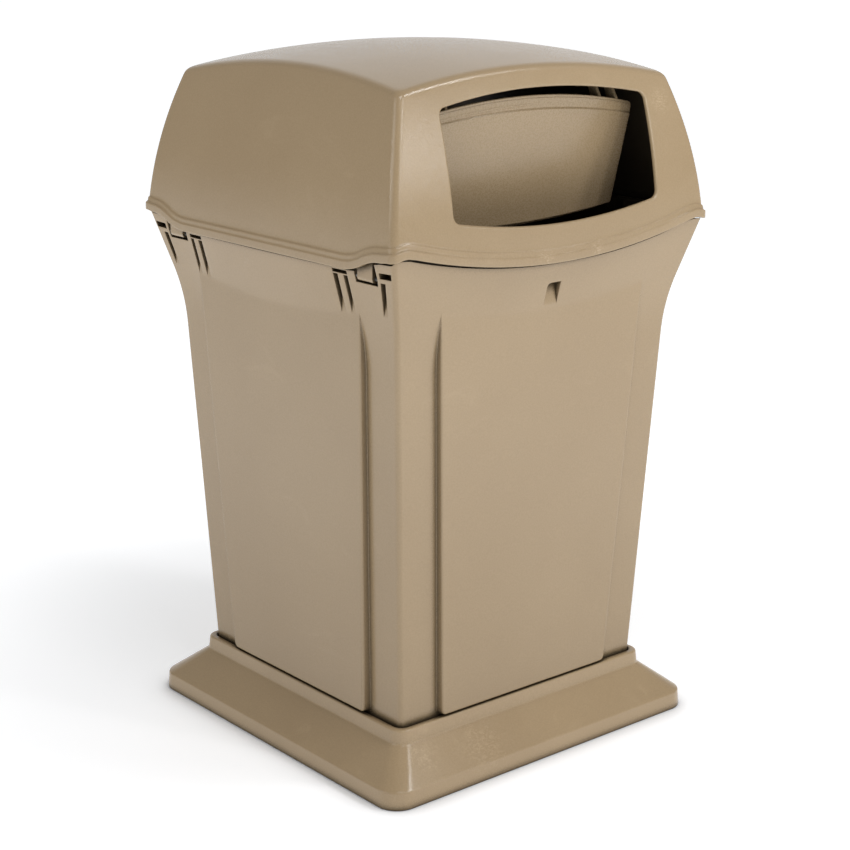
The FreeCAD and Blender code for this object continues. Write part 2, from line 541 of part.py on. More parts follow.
# ------------------------------------------------------------------ door brackets, bushes and screws on the hood
seed = {}
plate = prim("Part::Box", "bracket_plate", {"Length": "2 * Sizes.plate_half_long", "Width": "2 * Sizes.plate_half_wide", "Height": "Sizes.plate_thick"},
             ("Sizes.bracket_mid - Sizes.plate_half_long", "Sizes.door_pivot_out - Sizes.plate_half_wide", "Sizes.plate_top - Sizes.plate_thick"))
lug = prim("Part::Box", "bracket_lug", {"Length": "Sizes.lug_outer - Sizes.lug_inner", "Width": "2 * Sizes.lug_radius",
           "Height": "Sizes.plate_top - Sizes.plate_thick - Sizes.door_pivot_level"},
           ("Sizes.lug_inner", "Sizes.door_pivot_out - Sizes.lug_radius", "Sizes.door_pivot_level"))
eye = prim("Part::Cylinder", "bracket_eye", {"Radius": "Sizes.lug_radius", "Height": "Sizes.lug_outer - Sizes.lug_inner"},
           ("Sizes.lug_inner", "Sizes.door_pivot_out", "Sizes.door_pivot_level"), ((0, 1, 0), 90))
bore = prim("Part::Cylinder", "bracket_bore", {"Radius": "Sizes.bush_radius", "Height": "Sizes.lug_outer - Sizes.lug_inner + 4"},
            ("Sizes.lug_inner - 2", "Sizes.door_pivot_out", "Sizes.door_pivot_level"), ((0, 1, 0), 90))
holes = [prim("Part::Cylinder", "bracket_hole%d" % k, {"Radius": "Sizes.screw_radius", "Height": "Sizes.plate_thick + 4"},
              ("Sizes.bracket_mid %s Sizes.bracket_screw_off" % s, "Sizes.door_pivot_out", "Sizes.plate_top - Sizes.plate_thick - 2")) for k, s in enumerate("-+")]
bracket = cut("rear_door_bracket_right", fuse("bracket_blank", [plate, lug, eye]), fuse("bracket_cuts", [bore] + holes))
keep(bracket, "rear_door_bracket_right")
keep(mirror("rear_door_bracket_left", bracket, (1, 0, 0)), "rear_door_bracket_left")
keep(mirror("front_door_bracket_right", bracket, (0, 1, 0)), "front_door_bracket_right")
keep(mirror("front_door_bracket_left", PARTS["rear_door_bracket_left"], (0, 1, 0)), "front_door_bracket_left")

outer = prim("Part::Cylinder", "bush_outside", {"Radius": "Sizes.bush_radius", "Height": "Sizes.lug_outer - Sizes.lug_inner"},
             ("Sizes.lug_inner", "Sizes.door_pivot_out", "Sizes.door_pivot_level"), ((0, 1, 0), 90))
inner = prim("Part::Cylinder", "bush_inside", {"Radius": "Sizes.door_pin_radius + Sizes.door_pin_run", "Height": "Sizes.lug_outer - Sizes.lug_inner + 4"},
             ("Sizes.lug_inner - 2", "Sizes.door_pivot_out", "Sizes.door_pivot_level"), ((0, 1, 0), 90))
bush = cut("bush", outer, inner)
bush_x = mirror("bush_x", bush, (1, 0, 0))
keep(group("rear_door_bushes", [bush, bush_x]), "rear_door_bushes")
keep(mirror("front_door_bushes", PARTS["rear_door_bushes"], (0, 1, 0)), "front_door_bushes")

seeds = []
for k, s in enumerate("-+"):
    shank = prim("Part::Cylinder", "bracket_screw_shank%d" % k, {"Radius": "Sizes.screw_radius", "Height": "Sizes.plate_thick + 5.2"},
                 ("Sizes.bracket_mid %s Sizes.bracket_screw_off" % s, "Sizes.door_pivot_out", "Sizes.plate_top - Sizes.plate_thick"))
    head = prim("Part::Cone", "bracket_screw_head%d" % k, {"Radius1": "Sizes.screw_head * 0.6", "Radius2": "Sizes.screw_head", "Height": "Sizes.screw_head_tall"},
                ("Sizes.bracket_mid %s Sizes.bracket_screw_off" % s, "Sizes.door_pivot_out", "Sizes.plate_top - Sizes.plate_thick - Sizes.screw_head_tall"))
    seeds.append(fuse("bracket_screw%d" % k, [shank, head]))
quarter = group("bracket_screw_pair", seeds)
keep(four("door_bracket_screws", quarter), "door_bracket_screws")


# ------------------------------------------------------------------ swing doors
def arc_top(x, mid_level, radius):
    return mid_level - radius + math.sqrt(radius * radius - x * x)


def door_outline(s, half_top, level_top, rad_top, half_low, level_low, rad_low, ex):
    """A panel with arched top and bottom edges. Levels are those of its four corners, below the pivot."""
    A, B, C, D = V(-half_low, -level_low, 0), V(half_low, -level_low, 0), V(half_top, -level_top, 0), V(-half_top, -level_top, 0)
    low_mid = V(0, -level_low - (rad_low - math.sqrt(rad_low ** 2 - half_low ** 2)), 0)
    top_mid = V(0, -level_top + (rad_top - math.sqrt(rad_top ** 2 - half_top ** 2)), 0)
    s.addGeometry(Part.Arc(A, low_mid, B))
    s.addGeometry(Part.LineSegment(B, C))
    s.addGeometry(Part.Arc(C, top_mid, D))
    s.addGeometry(Part.LineSegment(D, A))
    K = Sketcher.Constraint

    def end_of(geo, p):
        g = s.Geometry[geo]
        return 1 if (g.StartPoint - p).Length < 1e-6 else 2
    for ga, gb, p in ((0, 1, B), (1, 2, C), (2, 3, D), (3, 0, A)):
        s.addConstraint(K("Coincident", ga, end_of(ga, p), gb, end_of(gb, p)))
    for geo, p, ex_x, ex_y in ((1, B, ex["half_low"], "-(" + ex["level_low"] + ")"), (1, C, ex["half_top"], "-(" + ex["level_top"] + ")"),
                               (3, D, "-(" + ex["half_top"] + ")", "-(" + ex["level_top"] + ")"), (3, A, "-(" + ex["half_low"] + ")", "-(" + ex["level_low"] + ")")):
        e = end_of(geo, p)
        n = s.addConstraint(K("DistanceX", -1, 1, geo, e, p.x))
        s.setExpression("Constraints[%d]" % n, ex_x)
        n = s.addConstraint(K("DistanceY", -1, 1, geo, e, p.y))
        s.setExpression("Constraints[%d]" % n, ex_y)
    for geo, val, e in ((0, rad_low, ex["rad_low"]), (2, rad_top, ex["rad_top"])):
        n = s.addConstraint(K("Radius", geo, val))
        s.setExpression("Constraints[%d]" % n, e)
    return s


def half_at(level):
    k = (level - S["door_top_edge"]) / (S["door_low_edge"] - S["door_top_edge"])
    return S["door_half_top"] + (S["door_half_low"] - S["door_half_top"]) * k


HALF_AT = "(Sizes.door_half_top + (Sizes.door_half_low - Sizes.door_half_top) * (%s - Sizes.door_top_edge) / (Sizes.door_low_edge - Sizes.door_top_edge))"


def make_door(label, turn):
    b = new_body(label)

    def slab(name, top, low, front, back, rad_top="door_top_radius", inset=0.0):
        s = new_sketch(b, name + "_outline", "XZ_Plane", "Sizes." + front)
        lt, ll = S["door_top_edge"] + top, S["door_low_edge"] + low
        et, el = "(Sizes.door_top_edge + %r)" % top, "(Sizes.door_low_edge + %r)" % low
        door_outline(s, half_at(lt) - inset, lt, S[rad_top], half_at(ll) - inset, ll, S["door_low_radius"],
                     {"half_low": (HALF_AT % el) + " - %r" % inset, "level_low": el, "half_top": (HALF_AT % et) + " - %r" % inset, "level_top": et,
                      "rad_low": "Sizes.door_low_radius", "rad_top": "Sizes." + rad_top})
        f = b.newObject("PartDesign::Pad", name)
        f.Profile = s
        f.setExpression("Length", "Sizes.%s - Sizes.%s" % (front, back))
        f.Reversed = True
        return f
    span = S["door_low_edge"] - S["door_top_edge"]
    slab("skin", 0.0, 0.0, "door_band_front", "door_back")
    slab("raised_face", S["door_step"], 0.0, "door_front", "door_band_front")
    slab("bottom_flange", span - S["door_flange_thick"], 0.0, "door_back", "door_flange_back", "door_low_radius")
    last = slab("bottom_lip", span - S["door_flange_thick"], S["door_lip_drop"], "door_flange_back", "door_flange_back", "door_low_radius", 6.0)
    last.setExpression("Length", "Sizes.door_lip_thick")
    r = S["ear_radius"]
    for k, (at, sgn) in enumerate((("ear_inner", 1), ("ear_outer", 1), ("ear_inner", -1), ("ear_outer", -1))):
        s = new_sketch(b, "ear%d_outline" % k, "YZ_Plane", ("Sizes.%s" % at) if sgn > 0 else ("-Sizes.%s - Sizes.ear_thick" % at))
        q = -S["door_back"] - 1
        p1, p4 = V(q, -21, 0), V(q, -50, 0)
        p2 = V(r * math.cos(math.radians(135)), r * math.sin(math.radians(135)), 0)
        p3 = V(r * math.cos(math.radians(-75)), r * math.sin(math.radians(-75)), 0)
        s.addGeometry(Part.LineSegment(p1, p2))
        s.addGeometry(Part.ArcOfCircle(Part.Circle(V(0, 0, 0), V(0, 0, 1), r), math.radians(-75), math.radians(135)))
        s.addGeometry(Part.LineSegment(p3, p4))
        s.addGeometry(Part.LineSegment(p4, p1))
        K = Sketcher.Constraint
        s.addConstraint(K("Coincident", 0, 2, 1, 2))
        s.addConstraint(K("Coincident", 1, 1, 2, 1))
        s.addConstraint(K("Coincident", 2, 2, 3, 1))
        s.addConstraint(K("Coincident", 3, 2, 0, 1))
        s.addConstraint(K("Coincident", 1, 3, -1, 1))
        n = s.addConstraint(K("Radius", 1, r))
        s.setExpression("Constraints[%d]" % n, "Sizes.ear_radius")
        s.addConstraint(K("Vertical", 3))
        n = s.addConstraint(K("DistanceX", -1, 1, 3, 1, q))
        s.setExpression("Constraints[%d]" % n, "-Sizes.door_back - 1")
        f = b.newObject("PartDesign::Pad", "ear%d" % k)
        f.Profile = s
        f.setExpression("Length", "Sizes.ear_thick")
    s = new_sketch(b, "pin_hole_outline", "YZ_Plane")
    circle(s, "door_pin_radius")
    f = b.newObject("PartDesign::Pocket", "pin_holes")
    f.Profile = s
    f.Midplane = True
    f.Length = 400
    doc.recompute()
    rot = FreeCAD.Rotation(V(0, 0, 1), turn).multiply(FreeCAD.Rotation(V(1, 0, 0), S["door_hang"]))
    b.Placement = FreeCAD.Placement(V(0, 0, 0), rot)
    b.setExpression("Placement.Base.y", ("-" if turn == 0 else "") + "Sizes.door_pivot_out")
    b.setExpression("Placement.Base.z", "Sizes.door_pivot_level")
    return b


make_door("front_door_panel", 0)
make_door("rear_door_panel", 180)

head = prim("Part::Cylinder", "door_pin_head", {"Radius": "Sizes.pin_head_radius", "Height": "Sizes.pin_head_thick"},
            ("Sizes.door_pin_from - Sizes.pin_head_thick", "Sizes.door_pivot_out", "Sizes.door_pivot_level"), ((0, 1, 0), 90))
shank = prim("Part::Cylinder", "door_pin_shank", {"Radius": "Sizes.door_pin_radius", "Height": "Sizes.door_pin_to - Sizes.door_pin_from"},
             ("Sizes.door_pin_from", "Sizes.door_pivot_out", "Sizes.door_pivot_level"), ((0, 1, 0), 90))
pin = keep(fuse("rear_door_pin_right", [head, shank]), "rear_door_pin_right")
keep(mirror("rear_door_pin_left", pin, (1, 0, 0)), "rear_door_pin_left")
keep(mirror("front_door_pin_right", pin, (0, 1, 0)), "front_door_pin_right")
keep(mirror("front_door_pin_left", PARTS["rear_door_pin_left"], (0, 1, 0)), "front_door_pin_left")
outer = prim("Part::Cylinder", "clip_outside", {"Radius": "Sizes.clip_radius", "Height": "Sizes.clip_thick"},
             ("Sizes.clip_at", "Sizes.door_pivot_out", "Sizes.door_pivot_level"), ((0, 1, 0), 90))
inner = prim("Part::Cylinder", "clip_inside", {"Radius": "Sizes.door_pin_radius", "Height": "Sizes.clip_thick + 2"},
             ("Sizes.clip_at - 1", "Sizes.door_pivot_out", "Sizes.door_pivot_level"), ((0, 1, 0), 90))
gap = prim("Part::Box", "clip_gap", {"Length": "Sizes.clip_thick + 2", "Width": "Sizes.door_pin_radius", "Height": "Sizes.clip_radius + 2"},
           ("Sizes.clip_at - 1", "Sizes.door_pivot_out - Sizes.door_pin_radius / 2", "Sizes.door_pivot_level"))
clip = cut("clip", outer, fuse("clip_cuts", [inner, gap]))
clip_x = mirror("clip_x", clip, (1, 0, 0))
keep(group("rear_door_pin_clips", [clip, clip_x]), "rear_door_pin_clips")
keep(mirror("front_door_pin_clips", PARTS["rear_door_pin_clips"], (0, 1, 0)), "front_door_pin_clips")

# ------------------------------------------------------------------ pedestal fasteners
UNDER = "Sizes.deck_under - Sizes.washer_thick"
ring = prim("Part::Cylinder", "washer_outside", {"Radius": "Sizes.washer_radius", "Height": "Sizes.washer_thick"}, ("Sizes.bolt_pitch", "Sizes.bolt_pitch", UNDER))
hole = prim("Part::Cylinder", "washer_inside", {"Radius": "Sizes.bolt_hole", "Height": "Sizes.washer_thick + 2"}, ("Sizes.bolt_pitch", "Sizes.bolt_pitch", UNDER + " - 1"))
keep(four("base_washers", cut("base_washer", ring, hole)), "base_washers")
head = prim("Part::Prism", "bolt_head", {"Circumradius": "Sizes.bolt_head_across", "Height": "Sizes.bolt_head_tall"}, ("Sizes.bolt_pitch", "Sizes.bolt_pitch", UNDER + " - Sizes.bolt_head_tall"))
shank = prim("Part::Cylinder", "bolt_shank", {"Radius": "Sizes.bolt_radius", "Height": "Sizes.bolt_tip - Sizes.deck_under + Sizes.washer_thick"}, ("Sizes.bolt_pitch", "Sizes.bolt_pitch", UNDER))
keep(four("base_bolts", fuse("base_bolt", [head, shank])), "base_bolts")

# ------------------------------------------------------------------ check and write
doc.recompute()
for o in doc.Objects:
    if "Invalid" in o.State or "Error" in o.State:
        raise RuntimeError("object failed: %s %s" % (o.Name, o.State))
os.makedirs("parts", exist_ok=True)
for label, o in sorted(PARTS.items()):
    sh = o.Shape
    if sh.isNull() or not sh.isValid() or not sh.Solids:
        raise RuntimeError("bad shape: " + label)
    bb = sh.BoundBox
    print("%-26s solids %2d  volume %11.1f  x %8.2f..%8.2f  y %8.2f..%8.2f  z %8.2f..%8.2f" % (label, len(sh.Solids), sh.Volume, bb.XMin, bb.XMax, bb.YMin, bb.YMax, bb.ZMin, bb.ZMax))
for label, o in sorted(PARTS.items()):
    o.Shape.exportStep("parts/%s.step" % label)
print("written", len(PARTS))
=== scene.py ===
import math

import bmesh
import bpy
import numpy as np
from mathutils import Matrix, Vector

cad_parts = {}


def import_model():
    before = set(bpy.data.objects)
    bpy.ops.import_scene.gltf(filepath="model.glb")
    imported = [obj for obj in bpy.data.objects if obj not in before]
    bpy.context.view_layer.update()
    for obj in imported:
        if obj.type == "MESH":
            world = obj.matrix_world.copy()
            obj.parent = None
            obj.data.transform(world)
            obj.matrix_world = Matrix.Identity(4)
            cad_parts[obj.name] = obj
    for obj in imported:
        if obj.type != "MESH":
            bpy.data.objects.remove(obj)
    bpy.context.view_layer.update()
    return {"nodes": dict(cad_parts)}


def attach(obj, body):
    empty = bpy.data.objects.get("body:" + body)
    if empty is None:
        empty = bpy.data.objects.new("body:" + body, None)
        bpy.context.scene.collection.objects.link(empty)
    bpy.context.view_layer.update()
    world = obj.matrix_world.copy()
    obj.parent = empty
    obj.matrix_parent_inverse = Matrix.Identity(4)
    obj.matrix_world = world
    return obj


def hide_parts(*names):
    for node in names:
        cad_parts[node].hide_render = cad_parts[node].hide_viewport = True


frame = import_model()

scene = bpy.context.scene
MM = 0.001

# Each of the four faces: its outward direction and the direction along it, anticlockwise seen from above.
FACES = [((0, -1), (1, 0)), ((1, 0), (0, 1)), ((0, 1), (-1, 0)), ((-1, 0), (0, -1))]


# ------------------------------------------------------------------ mesh building
class Skin:
    """Points and faces in millimetres, gathered patch by patch and welded at the end."""

    def __init__(self):
        self.v, self.f, self.m, self.n = [], [], [], 0

    def points(self, P):
        P = np.asarray(P, float).reshape(-1, 3)
        first = self.n
        self.v.append(P)
        self.n += len(P)
        return first

    def faces(self, q, m=0):
        q = [list(map(int, f)) for f in q]
        self.f += q
        self.m += [m] * len(q) if np.isscalar(m) else [int(k) for k in m]

    def grid(self, P, closed=False, keep=None, mat=0):
        P = np.asarray(P, float)
        r, c = P.shape[:2]
        k = self.points(P) + np.arange(r * c).reshape(r, c)
        j = np.hstack([k, k[:, :1]]) if closed else k
        q = np.stack([j[:-1, :-1], j[:-1, 1:], j[1:, 1:], j[1:, :-1]], -1)
        m = np.broadcast_to(np.asarray(mat).reshape(-1, 1), q.shape[:2])
        if keep is not None:
            q, m = q[keep], m[keep]
        self.faces(q.reshape(-1, 4), m.reshape(-1))
        return k

    def fan(self, ring, centre, mat=0):
        i = self.points([centre])
        ring = list(ring)
        self.faces([[a, b, i] for a, b in zip(ring, ring[1:] + ring[:1])], mat)

    def cap(self, ring, mat=0):
        self.faces([list(ring)], mat)

    def build(self, name, mats, angle=36.0):
        me = bpy.data.meshes.new(name)
        me.from_pydata((np.vstack(self.v) * MM).tolist(), [], self.f)
        me.polygons.foreach_set("material_index", self.m)
        bm = bmesh.new()
        bm.from_mesh(me)
        bmesh.ops.remove_doubles(bm, verts=bm.verts, dist=3e-6)
        bmesh.ops.dissolve_degenerate(bm, dist=1e-7, edges=bm.edges)
        bmesh.ops.recalc_face_normals(bm, faces=bm.faces)
        lim = math.radians(angle)
        for f in bm.faces:
            f.smooth = True
        loose = 0
        for e in bm.edges:
            if len(e.link_faces) == 2:
                e.smooth = e.calc_face_angle(0) < lim
            else:
                loose += 1
        print(name, "faces", len(bm.faces), "open edges", loose)
        bm.to_mesh(me)
        bm.free()
        for m in mats:
            me.materials.append(m)
        ob = bpy.data.objects.new(name, me)
        scene.collection.objects.link(ob)
        return ob


def rounded_path(pts, radii, seg=6, rest=2.5):
    """A polyline with its corners rounded, and a resting point on each side of every rounding."""
    pts = [np.array(p, float) for p in pts]
    out = [pts[0]]
    for i in range(1, len(pts) - 1):
        a, b, c = pts[i - 1], pts[i], pts[i + 1]
        u, v = (a - b) / np.linalg.norm(a - b), (c - b) / np.linalg.norm(c - b)
        half = math.acos(max(-1, min(1, float(u @ v)))) / 2
        r = radii[i]
        t = r / math.tan(half)
        mid = (u + v) / np.linalg.norm(u + v)
        o = b + mid * (r / math.sin(half))
        s, e = b + u * t, b + v * t
        if np.linalg.norm(a - b) - t > rest * 1.6:
            out.append(s + u * rest)
        a0, a1 = s - o, e - o
        ang = math.acos(max(-1, min(1, float(a0 @ a1) / r / r)))
        for k in range(seg + 1):
            w = k / seg
            out.append(o + (a0 * math.sin((1 - w) * ang) + a1 * math.sin(w * ang)) / math.sin(ang))
        if np.linalg.norm(c - b) - t > rest * 1.6:
            out.append(e + v * rest)
    out.append(pts[-1])
    return np.array(out)


def ring_columns(ts_of_face, phis):
    """Vectors A and B of every column, so that a ring of half width h and corner radius r is h*A + r*B."""
    A, B, info = [], [], []
    for k, (n, t) in enumerate(FACES):
        n, t = np.array(n, float), np.array(t, float)
        for s in ts_of_face[k]:
            A.append(n + s * t)
            B.append(-s * t)
            info.append((k, "flat", s))
        for p in phis:
            A.append(n + t)
            B.append(-(n + t) + n * math.cos(p) + t * math.sin(p))
            info.append((k, "corner", p))
    return np.array(A), np.array(B), info


def smooth_step(a, b, x):
    t = np.clip((x - a) / (b - a), 0, 1)
    return t * t * (3 - 2 * t)


# ------------------------------------------------------------------ shared curves of the body and hood
W_FOOT, W_LEVEL, W_SLOPE = 244.6, 97.0, 0.0492
F_HALF, F_LEVEL, F_SLOPE, F_ROUND = 306.0, 800.0, 0.275, 430.0
BODY_R = 7.5
_zk = (F_HALF - F_SLOPE * F_LEVEL - W_FOOT + W_SLOPE * W_LEVEL) / (W_SLOPE - F_SLOPE)
_a1, _a2 = math.atan(W_SLOPE), math.atan(F_SLOPE)
_tl = F_ROUND * math.tan((_a2 - _a1) / 2)
Z1, Z2 = _zk - _tl * math.cos(_a1), _zk + _tl * math.cos(_a2)
_px = W_FOOT + W_SLOPE * (Z1 - W_LEVEL)
_ox, _oz = _px + F_ROUND * math.cos(_a1), Z1 - F_ROUND * math.sin(_a1)


def body_half(z):
    """Half width of the body's corner strips: a leaning wall, then a tangent round into the flare."""
    z = np.asarray(z, float)
    low = W_FOOT + W_SLOPE * (z - W_LEVEL)
    high = F_HALF + F_SLOPE * (z - F_LEVEL)
    arc = _ox - np.sqrt(np.maximum(F_ROUND ** 2 - (z - _oz) ** 2, 0))
    return np.where(z < Z1, low, np.where(z > Z2, high, arc))


def wave_front(x):
    a = np.abs(x)
    over = np.clip(a - 280.0, 0, 23.0)
    return 781.5 + 41.4 * (np.minimum(a, 280.0) / 300.0) ** 2 + 0.2576 * over - 0.0123 * over ** 2


def wave_side(y):
    a = np.abs(y)
    y0, y1, rise = 199.0, 291.0, 20.0
    ell = (y1 - y0) / 2
    rad = (ell * ell + (rise / 2) ** 2) / rise
    lo = rad - np.sqrt(np.maximum(rad ** 2 - np.clip(a - y0, 0, ell) ** 2, 0))
    hi = rise - (rad - np.sqrt(np.maximum(rad ** 2 - np.clip(y1 - a, 0, ell) ** 2, 0)))
    z = np.where(a < y0, 0.0, np.where(a < y0 + ell, lo, np.where(a < y1, hi, rise + 4.5 * (a - y1) / 32.0)))
    return 793.0 + z


def wave_of(face, s):
    return wave_front(s) if face in (0, 2) else wave_side(s)


def hood_half(z):
    return -506.4 + np.sqrt(np.maximum(822.0 ** 2 - (np.asarray(z, float) - 755.0) ** 2, 0))


def crown(xy, drop=0.0):
    r2 = np.sum(np.asarray(xy) ** 2, -1)
    rad = 1494.0 - drop
    return 1085.5 - 1494.0 + np.sqrt(rad ** 2 - r2)


# ------------------------------------------------------------------ materials
def node(nt, kind, x=0, y=0, **props):
    n = nt.nodes.new(kind)
    n.location = (x, y)
    for k, v in props.items():
        setattr(n, k, v)
    return n


def ramp(nt, stops, interpolation="LINEAR"):
    n = node(nt, "ShaderNodeValToRGB")
    n.color_ramp.interpolation = interpolation
    e = n.color_ramp.elements
    while len(e) < len(stops):
        e.new(0.5)
    for k, (p, c) in zip(e, stops):
        k.position = p
        k.color = (*c, 1.0) if len(c) == 3 else c
    return n


def mixed(nt, kind, fac, a, b):
    n = node(nt, "ShaderNodeMix", data_type="RGBA", blend_type=kind)
    n.clamp_result = False
    for sock, val in ((n.inputs["Factor"], fac), (n.inputs["A"], a), (n.inputs["B"], b)):
        if isinstance(val, bpy.types.NodeSocket):
            nt.links.new(val, sock)
        elif hasattr(val, "__len__"):
            sock.default_value = (*val, 1.0) if len(val) == 3 else val
        else:
            sock.default_value = val
    return n.outputs["Result"]


def noise(nt, vec, scale, detail=2.0, rough=0.5, distortion=0.0):
    n = node(nt, "ShaderNodeTexNoise", noise_dimensions="3D")
    n.inputs["Scale"].default_value = scale
    n.inputs["Detail"].default_value = detail
    n.inputs["Roughness"].default_value = rough
    n.inputs["Distortion"].default_value = distortion
    nt.links.new(vec, n.inputs["Vector"])
    return n


def maths(nt, op, a, b=None, clamp=False):
    n = node(nt, "ShaderNodeMath", operation=op, use_clamp=clamp)
    for sock, val in zip(n.inputs, (a, b)):
        if val is None:
            continue
        if isinstance(val, bpy.types.NodeSocket):
            nt.links.new(val, sock)
        else:
            sock.default_value = val
    return n.outputs[0]


def moulded(name, tone, shade, rough=0.20, grain=0.12, flow=0.5, spec=0.5, speck=0.06, corner_shade=0.92, rubs_and_sheen=()):
    """Satin moulded plastic: fine sanded grain, pale flow marks from the mould, slow drift of tone, a few rubbed spots
    and pale patches of painted highlight.
    """
    m = bpy.data.materials.new(name)
    m.use_nodes = True
    nt = m.node_tree
    b = nt.nodes["Principled BSDF"]
    tc = node(nt, "ShaderNodeTexCoord")
    vec = tc.outputs["Object"]
    drift = noise(nt, vec, 3.1, 3.0, 0.55)
    col = mixed(nt, "MIX", ramp_of(nt, drift.outputs["Fac"], 0.34, 0.66), shade, tone)
    # pale flow marks
    fl = node(nt, "ShaderNodeMapping")
    fl.inputs["Scale"].default_value = (1.0, 1.0, 2.2)
    nt.links.new(vec, fl.inputs["Vector"])
    swirl = noise(nt, fl.outputs["Vector"], 7.0, 4.0, 0.55, 1.6)
    sw = ramp_of(nt, swirl.outputs["Fac"], 0.60, 0.80)
    pale = tuple(min(1.0, c * 1.12 + 0.02) for c in tone)
    col = mixed(nt, "MIX", maths(nt, "MULTIPLY", sw, flow * 0.5), col, pale)
    # specks of the sanded finish
    fine = noise(nt, vec, 430.0, 2.0, 0.6)
    sp = ramp_of(nt, fine.outputs["Fac"], 0.30, 0.70)
    col = mixed(nt, "OVERLAY", speck, col, mixed(nt, "MIX", sp, (0.18, 0.18, 0.18), (0.86, 0.86, 0.86)))
    # rubbed places and patches of painted highlight: where, how far they reach, how pale
    for where, reach, amount in rubs_and_sheen:
        off = node(nt, "ShaderNodeVectorMath", operation="DISTANCE")
        nt.links.new(vec, off.inputs[0])
        off.inputs[1].default_value = where
        streak = noise(nt, fl.outputs["Vector"], 95.0, 3.0, 0.6, 2.0)
        hit = maths(nt, "MULTIPLY", ramp_of(nt, off.outputs["Value"], reach, 0.0), ramp_of(nt, streak.outputs["Fac"], 0.46, 0.66))
        col = mixed(nt, "MIX", maths(nt, "MULTIPLY", hit, amount), col, tuple(min(1.0, c * 1.30 + 0.05) for c in tone))
    # painted shade: base colour darkened in tight corners and grooves by an ambient occlusion mask
    ao = node(nt, "ShaderNodeAmbientOcclusion", samples=6)
    ao.inputs["Distance"].default_value = 0.018
    close = ramp_of(nt, ao.outputs["AO"], 0.87, 0.53)
    col = mixed(nt, "MIX", maths(nt, "MULTIPLY", close, corner_shade), col, tuple(c * 0.10 for c in shade))
    nt.links.new(col, b.inputs["Base Color"])
    ro = noise(nt, vec, 24.0, 3.0, 0.6)
    r1 = maths(nt, "MULTIPLY", maths(nt, "SUBTRACT", ro.outputs["Fac"], 0.5), 0.10)
    r2 = maths(nt, "MULTIPLY", maths(nt, "SUBTRACT", sp, 0.5), 0.10)
    nt.links.new(maths(nt, "ADD", maths(nt, "ADD", r1, r2), rough, clamp=True), b.inputs["Roughness"])
    # painted shade: specular dimmed in tight corners by the same mask
    nt.links.new(maths(nt, "MULTIPLY", maths(nt, "SUBTRACT", 1.0, maths(nt, "MULTIPLY", close, corner_shade)), spec), b.inputs["Specular IOR Level"])
    g2 = noise(nt, vec, 1500.0, 1.0, 0.5)
    h = maths(nt, "ADD", maths(nt, "MULTIPLY", fine.outputs["Fac"], 1.0), maths(nt, "MULTIPLY", g2.outputs["Fac"], 0.45))
    bp = node(nt, "ShaderNodeBump")
    bp.inputs["Strength"].default_value = grain
    bp.inputs["Distance"].default_value = 0.0006
    nt.links.new(h, bp.inputs["Height"])
    wavy = noise(nt, vec, 9.0, 2.0, 0.5)
    bw = node(nt, "ShaderNodeBump")
    bw.inputs["Strength"].default_value = 0.10
    bw.inputs["Distance"].default_value = 0.004
    nt.links.new(wavy.outputs["Fac"], bw.inputs["Height"])
    nt.links.new(bp.outputs["Normal"], bw.inputs["Normal"])
    nt.links.new(bw.outputs["Normal"], b.inputs["Normal"])
    return m


def ramp_of(nt, sock, a, b):
    n = node(nt, "ShaderNodeMapRange", interpolation_type="SMOOTHSTEP")
    n.inputs["From Min"].default_value = a
    n.inputs["From Max"].default_value = b
    nt.links.new(sock, n.inputs["Value"])
    return n.outputs["Result"]


def zinc(name):
    m = bpy.data.materials.new(name)
    m.use_nodes = True
    nt = m.node_tree
    b = nt.nodes["Principled BSDF"]
    b.inputs["Metallic"].default_value = 1.0
    vec = node(nt, "ShaderNodeTexCoord").outputs["Object"]
    sp = noise(nt, vec, 260.0, 3.0, 0.6)
    col = mixed(nt, "MIX", ramp_of(nt, sp.outputs["Fac"], 0.35, 0.65), (0.11, 0.108, 0.10), (0.20, 0.197, 0.185))
    nt.links.new(col, b.inputs["Base Color"])
    nt.links.new(maths(nt, "ADD", maths(nt, "MULTIPLY", sp.outputs["Fac"], 0.22), 0.36), b.inputs["Roughness"])
    bp = node(nt, "ShaderNodeBump")
    bp.inputs["Strength"].default_value = 0.12
    bp.inputs["Distance"].default_value = 0.0002
    nt.links.new(noise(nt, vec, 1900.0, 2.0, 0.6).outputs["Fac"], bp.inputs["Height"])
    nt.links.new(bp.outputs["Normal"], b.inputs["Normal"])
    return m


BEIGE = (0.352, 0.257, 0.150)
BEIGE_SHADE = (0.334, 0.242, 0.140)
M_BODY = moulded("body_plastic", BEIGE, BEIGE_SHADE)
M_HOOD = moulded("hood_plastic", BEIGE, BEIGE_SHADE, grain=0.26,
                 rubs_and_sheen=[((0.238, -0.285, 1.002), 0.030, 0.8), ((-0.03, -0.317, 0.792), 0.022, 0.6), ((0.075, -0.317, 0.795), 0.020, 0.6)])
# painted light: the base is the same beige as the body, raised about a sixth in tone so it reads as more brightly lit
M_BASE = moulded("base_plastic", tuple(c * 1.16 for c in BEIGE), tuple(c * 1.14 for c in BEIGE_SHADE), flow=0.9,
                 # the base's pale streaked patches on the front slope by the near corner are painted highlight where
                 # the lamp's sheen falls
                 rubs_and_sheen=[((-0.12, -0.29, 0.05), 0.07, 0.4), ((-0.23, -0.28, 0.055), 0.05, 0.4)])
# the door takes only a little of the painted shade in tight corners
M_DOOR = moulded("door_plastic", BEIGE, BEIGE_SHADE, rough=0.28, corner_shade=0.10)
